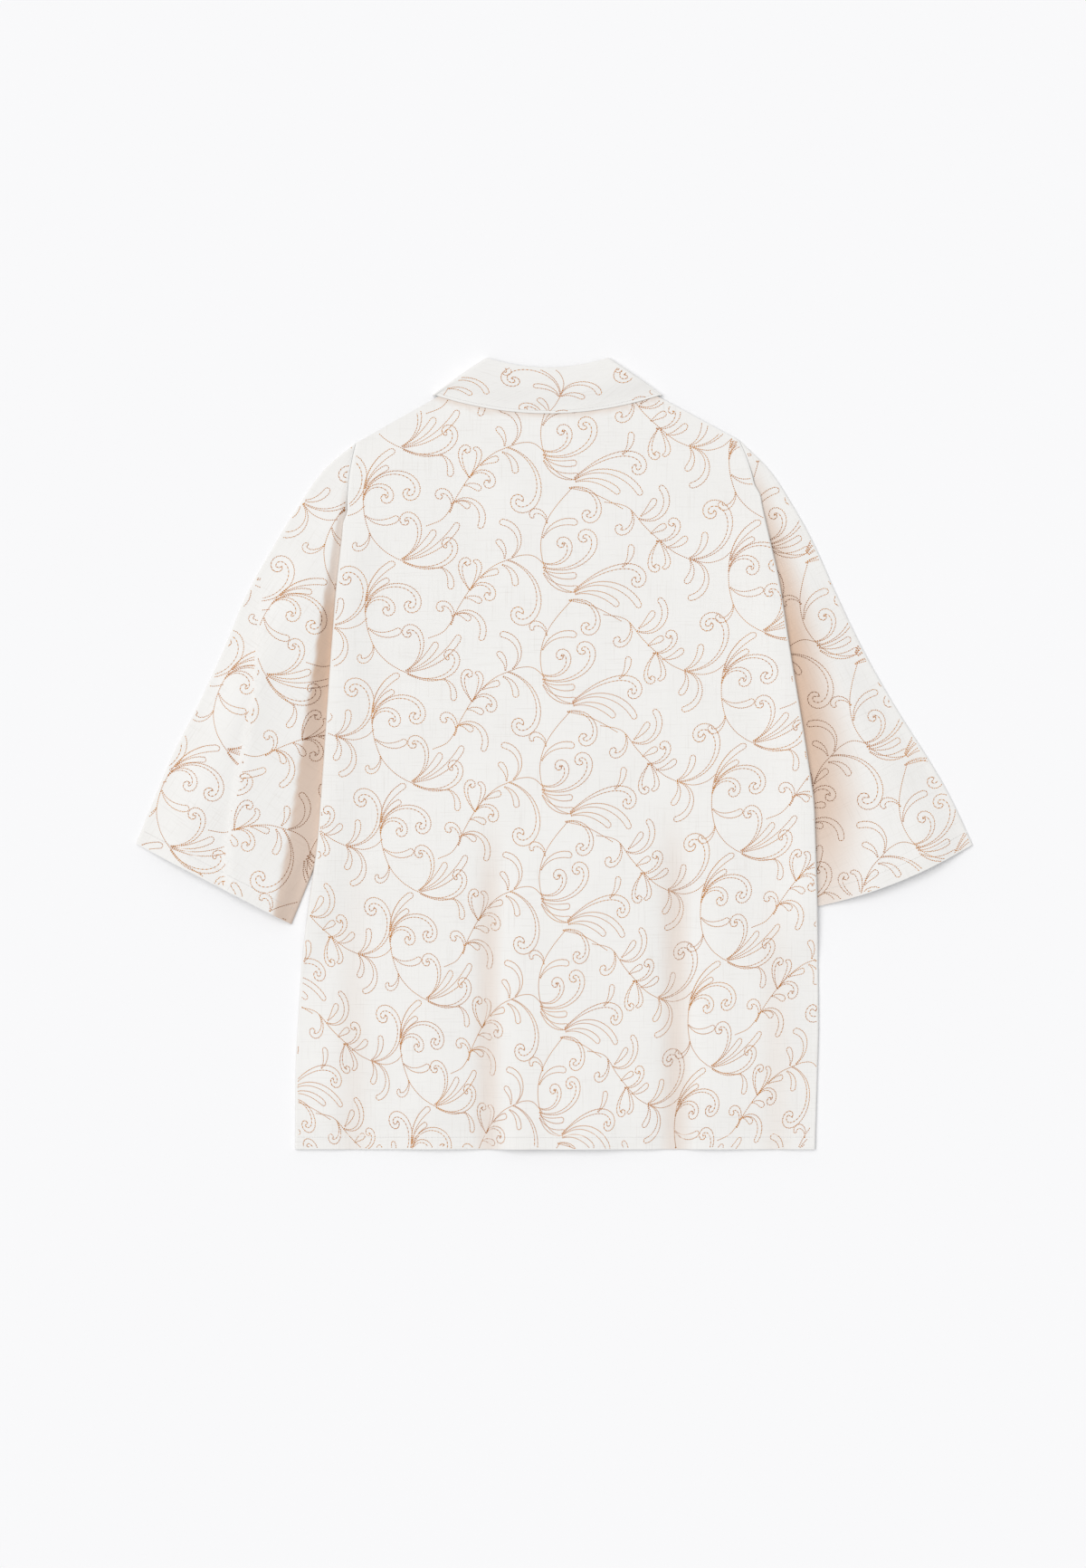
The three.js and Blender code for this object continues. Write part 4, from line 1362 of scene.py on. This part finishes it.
def collar_stations():
    """Reach, turn and side of each station from the left front end round the back to the
    right front end: along the back, half a turn at the side of the neck, along the front."""
    back = np.linspace(0, 1, 40)
    turn = np.linspace(0, math.pi, 15)[1:-1]
    front = np.linspace(1, COLLAR_END_GAP, 40)
    reach = np.concatenate([back, np.ones_like(turn), front])
    angle = np.concatenate([np.zeros_like(back), turn, np.full_like(front, math.pi)])
    is_front = np.concatenate([np.zeros(len(back) + len(turn), bool), np.ones(len(front), bool)])
    sign = np.ones_like(reach)
    return [np.concatenate([first[:0:-1], second]) for first, second in
            ((reach, reach), (angle, angle), (is_front, is_front), (-sign, sign))]


COLLAR_FALL_OUT = 1.9
COLLAR_THICKNESS = 0.9
FALL_LOFT = 2.0
FALL_LOFT_END = 0.92
FALL_LOFT_POWER = 0.8
EDGE_LOFT = 0.5
EDGE_LOFT_RUN = 0.4
FALL_CLEARANCE = 0.25
SETTLE_START = 0.45


def fall_loft(place):
    """How far the fall stands off: a little at its edge, most in its middle, where it
    follows half a wave to the power of 0.8."""
    share = np.clip(place, 0, 1)
    wave = np.sin(math.pi * np.clip(share * FALL_LOFT_END, 0, 1))
    return EDGE_LOFT * smoothstep(share, 0, EDGE_LOFT_RUN) + FALL_LOFT * wave**FALL_LOFT_POWER


def settled(x, y, z, place, lifted):
    """The fall's height, brought down onto the back towards its outer edge."""
    laid = back_top(x, y) + COLLAR_THICKNESS / 2 + FALL_CLEARANCE
    return lerp(z, np.minimum(laid, z), smoothstep(place, SETTLE_START, 1.0) * lifted**4)


def collar_point(stations, place, out):
    """A point of the folded band. place runs from -1 at the neck seam over 0 at the ridge
    to 1 at the outer edge; out is its distance from the hollow of the neck. The fall lifts
    off the back in its middle and settles onto it at its edge."""
    reach, turn, front, sign = (part[:, None] for part in stations)
    ridge_x, ridge_y = collar_line(COLLAR_RIDGE, reach, front)
    seam_x, seam_y = collar_line(COLLAR_SEAM, reach, front)
    edge_x, edge_y = collar_line(COLLAR_EDGE, reach, front)
    share = np.abs(place)
    x = np.where(place < 0, lerp(ridge_x, seam_x, share), lerp(ridge_x, edge_x, share))
    y = np.where(place < 0, lerp(ridge_y, seam_y, share), lerp(ridge_y, edge_y, share))
    lifted = (1 + np.cos(turn)) / 2
    radius = NECK_HOLLOW + out + fall_loft(place) * lifted
    x = COLLAR_CENTRE_X + sign * (x + np.sin(turn) * radius)
    return skin(x, y, settled(x, y, COLLAR_MID_Z + np.cos(turn) * radius, place, lifted))


def fall_place(x, y, front=False):
    """Reach and place of a plan point on the collar's fall, found in twelve rounds: the
    reach that gives x at the last place, then the place that gives y at that reach."""
    away = np.abs(x - COLLAR_CENTRE_X)
    spread = COLLAR_POINT_SPREAD if front else 0
    place = np.full(np.shape(x), 0.5)
    for _ in range(12):
        width = lerp(COLLAR_RIDGE.half_width, COLLAR_EDGE.half_width * (1 - spread), place)
        reach = np.clip((away - place * COLLAR_EDGE.half_width * spread) / width, 0, 1)
        _, ridge_y = collar_line(COLLAR_RIDGE, reach, front)
        _, edge_y = collar_line(COLLAR_EDGE, reach, front)
        place = np.clip((ridge_y - y) / (ridge_y - edge_y), -0.2, 1.2)
    return reach, place


# Where the collar takes stitches: shares of its width, then shares of its reach.
BACK_FALL = ((0.03, 0.965), (-1, 0.995))
FRONT_FALL = ((0.05, 0.96), (0.04, 0.97))


def on_collar(front, x, y):
    """Whether points lie on the collar's back, or on its front ends, inside the edges."""
    (inner, outer), (start, end) = FRONT_FALL if front else BACK_FALL
    reach, place = fall_place(x, y, front)
    return (place > inner) & (place < outer) & (reach > start) & (reach < end)


def fall_top(x, y):
    """The upper face of the collar's back at a plan point."""
    _, place = fall_place(x, y)
    z = COLLAR_MID_Z + NECK_HOLLOW + COLLAR_FALL_OUT + fall_loft(place)
    return settled(x, y, z, place, 1) + COLLAR_THICKNESS / 2


COLLAR_NODE = (6.4, 394)
COLLAR_BOW = 11
COLLAR_LEAN = 0.70
COLLAR_REACH = ((-75, -220), (43, 400))


def collar_pattern(chart, drop):
    """The chart turned a quarter anticlockwise, with its last spray in the middle of the
    collar, a little flattened where the band leans back, and the rows bowed along the
    collar's edge by a parabola."""
    last = SPRAYS[-1]
    spread = repeat_over(chart, drop, *((last.x + x, y) for x, y in COLLAR_REACH))
    laid = []
    for part in spread:
        x = COLLAR_NODE[0] - (part[:, 1] - last.y)
        bow = COLLAR_BOW * ((x - COLLAR_CENTRE_X) / COLLAR_EDGE.half_width) ** 2
        y = COLLAR_NODE[1] + (part[:, 0] - last.x) * COLLAR_LEAN + bow
        laid.append(np.column_stack([x, y]))
    return laid


RIDGE_BULGE = 0.6
COLLAR_LOWEST = 0.05


class SHIRT_OT_collar(bpy.types.Operator):
    """Builds the folded collar band"""

    bl_idname = "shirt.collar"
    bl_label = "Collar"

    def execute(self, context):
        stations = collar_stations()
        bend = np.linspace(0, math.pi, 9)
        stand = np.linspace(-1, -0.08, 12)
        fall = np.concatenate([np.linspace(0.045, 0.96, 34), (0.975, 0.988, 1.0)])
        middle = COLLAR_FALL_OUT / 2
        place = np.concatenate([stand, np.zeros_like(bend), fall])
        out = np.concatenate([np.zeros_like(stand), middle * (1 - np.cos(bend)),
                              np.full_like(fall, COLLAR_FALL_OUT)])
        centre = collar_point(stations, place[None, :], out[None, :])
        bulge = np.concatenate([np.zeros_like(stand), np.sin(bend), np.zeros_like(fall)])
        centre[..., 1] += RIDGE_BULGE * bulge[None, :] * np.cos(stations[1])[:, None] ** 2
        step_place = np.gradient(centre, axis=1)
        step_round = np.gradient(centre, axis=0)
        normal = np.cross(step_place, step_round)
        normal /= np.maximum(np.linalg.norm(normal, axis=-1, keepdims=True), 1e-9)
        outer = centre + normal * COLLAR_THICKNESS / 2
        inner = centre - normal * COLLAR_THICKNESS / 2
        for face in (outer, inner):
            face[..., 2] = np.maximum(face[..., 2], COLLAR_LOWEST)
        steps = np.linalg.norm(step_place, axis=-1)
        rounds = np.linalg.norm(step_round, axis=-1)
        uvs = np.stack([np.cumsum(rounds, axis=0), np.cumsum(steps, axis=1)], -1) * MM
        collar = shell("collar_cloth", outer, inner, uvs, linen())
        dressed(collar, "linen", "collar")
        return {"FINISHED"}


# ---- embroidery pieces ------------------------------------------------------------


BODY_MARGIN = 1.6
HEM_MARGIN = 0.8
PLACKET_MARGIN = 1.5
SLEEVE_MARGIN = 1.2
CREASE_MARGIN = 0.5
TUCKED_STRIP = 6


def inside_body(edge, neck_y, x, y):
    """Whether points lie on a body panel, a little inside its edges."""
    within = side_distance(x, y, edge) > BODY_MARGIN
    return within & (y < top_edge_y(x, neck_y) - BODY_MARGIN) & (y > HEM_Y + HEM_MARGIN)


on_back = partial(inside_body, body_edge_x, COLLAR_SEAM.back)


def on_front(side, x, y):
    """Whether points lie on a front, a little inside its edges."""
    past_centre = side.sign * (x - centre_x(y)) > PLACKET_MARGIN - FRONT_CENTRE_OVERLAP
    return inside_body(front_edge_x, COLLAR_SEAM.front, x, y) & past_centre


def on_sleeve(side, x, y):
    """Whether points lie on a sleeve, a little inside its edges."""
    kept = (outer_distance(side, x, y) > SLEEVE_MARGIN) & (y < side.tip[1])
    kept &= cuff_distance(side, x, y) > SLEEVE_MARGIN
    seam = side.sign * (x - armhole_x(side, y)) > SLEEVE_MARGIN
    return kept & np.where(y > side.underarm[1], seam, inner_distance(side, x, y) > SLEEVE_MARGIN)


def on_bare_sleeve(side, x, y):
    """Whether points lie on a sleeve and clear of the body, or tucked 6 mm under it."""
    bare = (y > side.join) | (side.sign * (x - body_edge_x(side, y)) > -TUCKED_STRIP)
    return on_sleeve(side, x, y) & bare


def beside_crease(side, direction, x, y):
    """Whether points lie on the bare sleeve to the left (-1) or right (1) of its crease."""
    offset = crease_offset(x, y)[0]
    return on_bare_sleeve(side, x, y) & (direction * offset > CREASE_MARGIN)


# How the chart lies on a piece: its turn in degrees, and the place of one spray's node.
Lay = namedtuple("Lay", "degrees spray x y")
SLEEVE_LAY = {LEFT: Lay(-30.5, SPRAYS[0], -428.5, -97.5), RIGHT: Lay(26, SPRAYS[1], 305.5, -2)}
PAST_CREASE_LAY = Lay(-37, SPRAYS[1], -299.5, -82)
UNDER_COLLAR_LAY = Lay(90, SPRAYS[3], -60, 335)

# The corners of the plan that the chart is repeated over, and how far it is shifted on
# the faces that lie underneath.
BACK_REACH = ((-400, -520), (400, 420))
FRONT_REACH = ((-300, -440), (300, 420))
SLEEVE_REACH = ((-620, -620), (620, 620))
UNDER_COLLAR_REACH = ((-300, -500), (500, 500))
FRONT_SHIFT = (60, 30)
UNDER_SLEEVE_SHIFT = (40, -25)


def laid_by(stitches, lay):
    """Stitches of the chart, turned and moved so that the lay's spray has its place."""
    angle = math.radians(lay.degrees)
    rotate = np.array([(math.cos(angle), math.sin(angle)), (-math.sin(angle), math.cos(angle))])
    return [(part - (lay.spray.x, lay.spray.y)) @ rotate + (lay.x, lay.y) for part in stitches]


def embroider(name, threads, up, painted_shade=None):
    """A piece of rust stitches on an upper (1) or lower (-1) face, darkened by painted shade in its folds
    where that is given.
    """
    sizes = bpy.context.scene.shirt_sizes
    depth = painted_shade(threads[1][:, 0], threads[1][:, 1]) if painted_shade else None
    made = stitch_mesh(name, threads, up, sizes.stitch_width / MM, sizes.stitch_height / MM,
                       rust_thread(), depth)
    dressed(made, "embroidery_thread")


def embroider_sleeve(name, side, chart, drop):
    """Both faces of a sleeve. Past the left sleeve's crease the chart lies anew."""
    spread = repeat_over(chart, drop, *SLEEVE_REACH)
    plan = laid_by(spread, SLEEVE_LAY[side])
    top = partial(sleeve_top, side)
    if side.sharp:
        past = laid_by(spread, PAST_CREASE_LAY)
        parts = [laid_on(plan, partial(beside_crease, side, -1), top),
                 laid_on(past, partial(beside_crease, side, 1), top)]
        above = [np.concatenate(pair) for pair in zip(*parts)]
    else:
        above = laid_on(plan, partial(on_bare_sleeve, side), top)
    # The upper face's stitches take the sleeve's painted shade.
    embroider(f"sleeve_{name}_embroidery", above, 1, partial(sleeve_painted_shade, side))
    below = laid_on([part + UNDER_SLEEVE_SHIFT for part in plan], partial(on_sleeve, side),
                    partial(sleeve_under, side))
    embroider(f"sleeve_{name}_under_embroidery", below, -1)


def under_collar(x, y):
    """The height of the lower face of the collar's front ends."""
    return np.full_like(x, FLOOR_GAP)


class SHIRT_OT_embroidery(bpy.types.Operator):
    """Stitches the scrolling leaves over every panel"""

    bl_idname = "shirt.embroidery"
    bl_label = "Embroidery"

    def execute(self, context):
        sizes = context.scene.shirt_sizes
        chart = chart_stitches(sizes.stitch_pitch / MM)
        drop = sizes.drop / MM
        plan = [gathered(part) for part in repeat_over(chart, drop, *BACK_REACH)]
        # The back's stitches take its painted shade and painted shadow.
        embroider("back_embroidery", laid_on(plan, on_back, back_top), 1, back_painted_shade)
        plan = repeat_over([part + FRONT_SHIFT for part in chart], drop, *FRONT_REACH)
        for name, front in FRONTS.items():
            threads = laid_on(plan, partial(on_front, front.side), partial(front_under, front))
            embroider(f"front_{name}_embroidery", threads, -1)
        for name, side in SIDES.items():
            embroider_sleeve(name, side, chart, drop)
        plan = collar_pattern(chart, drop)
        threads = laid_on(plan, partial(on_collar, False), fall_top)
        embroider("collar_embroidery", threads, 1)
        plan = laid_by(repeat_over(chart, drop, *UNDER_COLLAR_REACH), UNDER_COLLAR_LAY)
        threads = laid_on(plan, partial(on_collar, True), under_collar)
        embroider("collar_under_embroidery", threads, -1)
        return {"FINISHED"}


# ---- seams ------------------------------------------------------------------------


SEAM_THREAD_WIDTH = 0.5
SEAM_THREAD_HEIGHT = 0.22
STITCH_INSET = 1.5
HEM_SPAN = (-284, 286)
PLACKET_INSET = 3
COLLAR_INSET = 3.2


def sewn(name, line, test, height, pitch, up=1):
    """A row of tonal stitches along a plan line, laid on a face."""
    threads = laid_on(run_of_stitches(line, pitch), test, height)
    made = stitch_mesh(name, threads, up, SEAM_THREAD_WIDTH, SEAM_THREAD_HEIGHT, sewing_thread())
    dressed(made, "linen")


def cuff_line(side):
    """The stitching line of a cuff, set back from its edge along the sleeve."""
    share = np.linspace(0.01, 0.99, 160)
    x, y = sleeve_plan(side, share, np.ones_like(share))
    outer, inner = side.outer[-1], side.cuff_inner
    square = np.array([outer[1] - inner[1], abs(inner[0] - outer[0])])
    up_sleeve = square / math.dist(outer, inner) * (-side.sign, 1)
    return np.stack([x, y], 1) + up_sleeve * (CUFF_HEM - STITCH_INSET)


class SHIRT_OT_seams(bpy.types.Operator):
    """Sews the hems, the collar's edge and the plackets with tonal thread"""

    bl_idname = "shirt.seams"
    bl_label = "Stitching"

    def execute(self, context):
        pitch = context.scene.shirt_sizes.seam_pitch / MM
        hem_x = np.linspace(*HEM_SPAN, 200)
        hem = np.stack([hem_x, np.full_like(hem_x, HEM_Y + HEM_DEPTH - STITCH_INSET)], 1)
        sewn("back_hem_stitches", hem, on_back, back_top, pitch)
        placket_y = np.linspace(COLLAR_SEAM.front - 4, HEM_Y + 2, 260)
        rows = {"edge": PLACKET_INSET - FRONT_CENTRE_OVERLAP, "fold": FRONT_CENTRE_OVERLAP}
        for name, front in FRONTS.items():
            under = partial(front_under, front)
            test = partial(on_front, front.side)
            sewn(f"front_{name}_hem_stitches", hem, test, under, pitch, -1)
            for place, offset in rows.items():
                x = centre_x(placket_y) + front.side.sign * offset
                sewn(f"front_{name}_placket_{place}_stitches", np.stack([x, placket_y], 1),
                     test, under, pitch, -1)
        for name, side in SIDES.items():
            sewn(f"cuff_{name}_stitches", cuff_line(side), partial(on_bare_sleeve, side),
                 partial(sleeve_top, side), pitch)
        edge_x, edge_y = collar_line(COLLAR_EDGE, np.linspace(0, 0.96, 120), False)
        half = np.stack([edge_x, edge_y + COLLAR_INSET], 1)
        edge = np.concatenate([half[:0:-1] * (-1, 1), half]) + (COLLAR_CENTRE_X, 0)
        sewn("collar_edge_stitches", edge, partial(on_collar, False), fall_top, pitch)
        return {"FINISHED"}


# ---- buttons ----------------------------------------------------------------------


BUTTON_RADIUS = 5.5
ROUNDING_START = 5.0
BUTTON_LOW = 0.5
BUTTON_HIGH = 2.05
DOME = 0.35
RIM = 0.45
RIM_RUN = (3.3, 4.3)
HOLE_OFFSET = 1.6
HOLES = (-HOLE_OFFSET, HOLE_OFFSET)
HOLE_DEPTH = 1.1
HOLE_RUN = (0.6, 0.95)
THREAD_END_Z = 0.75
THREAD_MIDDLE_Z = 0.45
BUTTONHOLE_HALF = 7.5
BIGHT_XS = (-1.7, -0.25, 0.25, 1.7)


def button_faces(y_place):
    """A dished disc with a raised rim and four pits: the lower face is a polar grid whose
    height follows the rim, the dish and the pits, the upper face is gently domed."""
    radius = np.concatenate([[0], np.linspace(0.35, 4.2, 18), np.linspace(4.45, BUTTON_RADIUS, 6)])
    angle = np.linspace(0, 2 * math.pi, 57)[:-1]
    r, a = np.meshgrid(radius, angle, indexing="ij")
    x, y = r * np.cos(a), r * np.sin(a)
    rounding = ((r - ROUNDING_START) / (BUTTON_RADIUS - ROUNDING_START)).clip(0, 1)
    edge = RIM * (1 - np.sqrt(np.clip(1 - rounding**2, 0, 1)))
    low = BUTTON_LOW - RIM * smoothstep(r, *RIM_RUN) + edge
    pits = sum(HOLE_DEPTH * (1 - smoothstep(np.hypot(x - px, y - py), *HOLE_RUN))
               for px in HOLES for py in HOLES)
    high = BUTTON_HIGH - DOME * (r / BUTTON_RADIUS) ** 4
    plan_x, plan_y = x + centre_x(y_place), y + y_place
    return skin(plan_x, plan_y, low + pits), skin(plan_x, plan_y, high)


def everywhere(x, y):
    """A test that every point passes."""
    return np.ones(np.shape(x), bool)


class SHIRT_OT_buttons(bpy.types.Operator):
    """Makes the seven buttons, the thread through their holes and the buttonholes"""

    bl_idname = "shirt.buttons"
    bl_label = "Buttons"

    def execute(self, context):
        colours = context.scene.shirt_colours
        material = material_named("shell_button", lambda: button_material(colours))
        for number, y_place in enumerate(BUTTON_YS, 1):
            lower, upper = button_faces(y_place)
            made = shell(f"button_{number}_disc", lower, upper, None, material,
                         loops=[last_ring(lower)])
            dressed(made, "button", f"button_{number}")
        place = np.array([(centre_x(y), y) for y in BUTTON_YS])[:, None]
        start = (place + [(-HOLE_OFFSET, hole) for hole in HOLES]).reshape(-1, 2)
        end = start + (2 * HOLE_OFFSET, 0)
        heights = (THREAD_END_Z, THREAD_MIDDLE_Z, THREAD_END_Z)
        bars = [np.column_stack([plan, np.full(len(plan), z)])
                for plan, z in zip((start, (start + end) / 2, end), heights)]
        made = stitch_mesh("button_threads", bars, -1, width=0.7, height=0.3,
                           material=sewing_thread())
        dressed(made, "linen")
        down = np.linspace(-BUTTONHOLE_HALF, BUTTONHOLE_HALF, 26)
        rows = [place + np.stack([np.full_like(down, x), down], 1) for x in BIGHT_XS]
        inner = np.concatenate([rows[1], rows[2]]).reshape(-1, 2)
        outer = np.concatenate([rows[0], rows[3]]).reshape(-1, 2)
        bights = laid_on((inner, outer), everywhere, partial(front_under, FRONTS["right"]))
        made = stitch_mesh("buttonhole_stitches", bights, -1, width=0.5, height=0.25,
                           material=sewing_thread())
        dressed(made, "linen")
        return {"FINISHED"}


# ---- the fronts' stitching names, listed and not used -----------------------------


class SHIRT_OT_cloth_sizes(bpy.types.Operator):
    bl_idname = "shirt.cloth_sizes"
    bl_label = "Declare the cloth"

    def execute(self, context):
        for name in FRONTS:
            rows = ("hem", "placket_edge", "placket_fold")
            stitching = [f"front_{name}_{row}_stitches" for row in rows]
            if name == "right":
                stitching.append("buttonhole_stitches")
        return {"FINISHED"}


class SHIRT_PT_panel(bpy.types.Panel):
    """The shirt's settings and steps"""

    bl_label = "Embroidered shirt"
    bl_idname = "SHIRT_PT_panel"
    bl_space_type = "VIEW_3D"
    bl_region_type = "UI"
    bl_category = "Shirt"

    def draw(self, context):
        scene = context.scene
        for group in (scene.shirt_sizes, scene.shirt_colours, scene.shirt_stage):
            box = self.layout.box()
            for name in group.__annotations__:
                box.prop(group, name)
        for step in STEPS:
            self.layout.operator(step.bl_idname)


SETTINGS = (
    ("shirt_sizes", ShirtSizes),
    ("shirt_colours", ShirtColours),
    ("shirt_stage", StageSettings),
)
STEPS = (
    SHIRT_OT_stage,
    SHIRT_OT_back,
    SHIRT_OT_fronts,
    SHIRT_OT_sleeves,
    SHIRT_OT_collar,
    SHIRT_OT_embroidery,
    SHIRT_OT_seams,
    SHIRT_OT_buttons,
    SHIRT_OT_cloth_sizes,
)


def register():
    """Registers the settings, the steps and the panel."""
    for name, group in SETTINGS:
        bpy.utils.register_class(group)
        setattr(bpy.types.Scene, name, bpy.props.PointerProperty(type=group))
    for step in (*STEPS, SHIRT_PT_panel):
        bpy.utils.register_class(step)


def unregister():
    """Takes the panel, the steps and the settings away again."""
    for step in (SHIRT_PT_panel, *reversed(STEPS)):
        bpy.utils.unregister_class(step)
    for name, group in reversed(SETTINGS):
        delattr(bpy.types.Scene, name)
        bpy.utils.unregister_class(group)


def main():
    """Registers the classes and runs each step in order."""
    register()
    for step in STEPS:
        group, name = step.bl_idname.split(".")
        getattr(getattr(bpy.ops, group), name)()


if __name__ == "__main__":
    main()
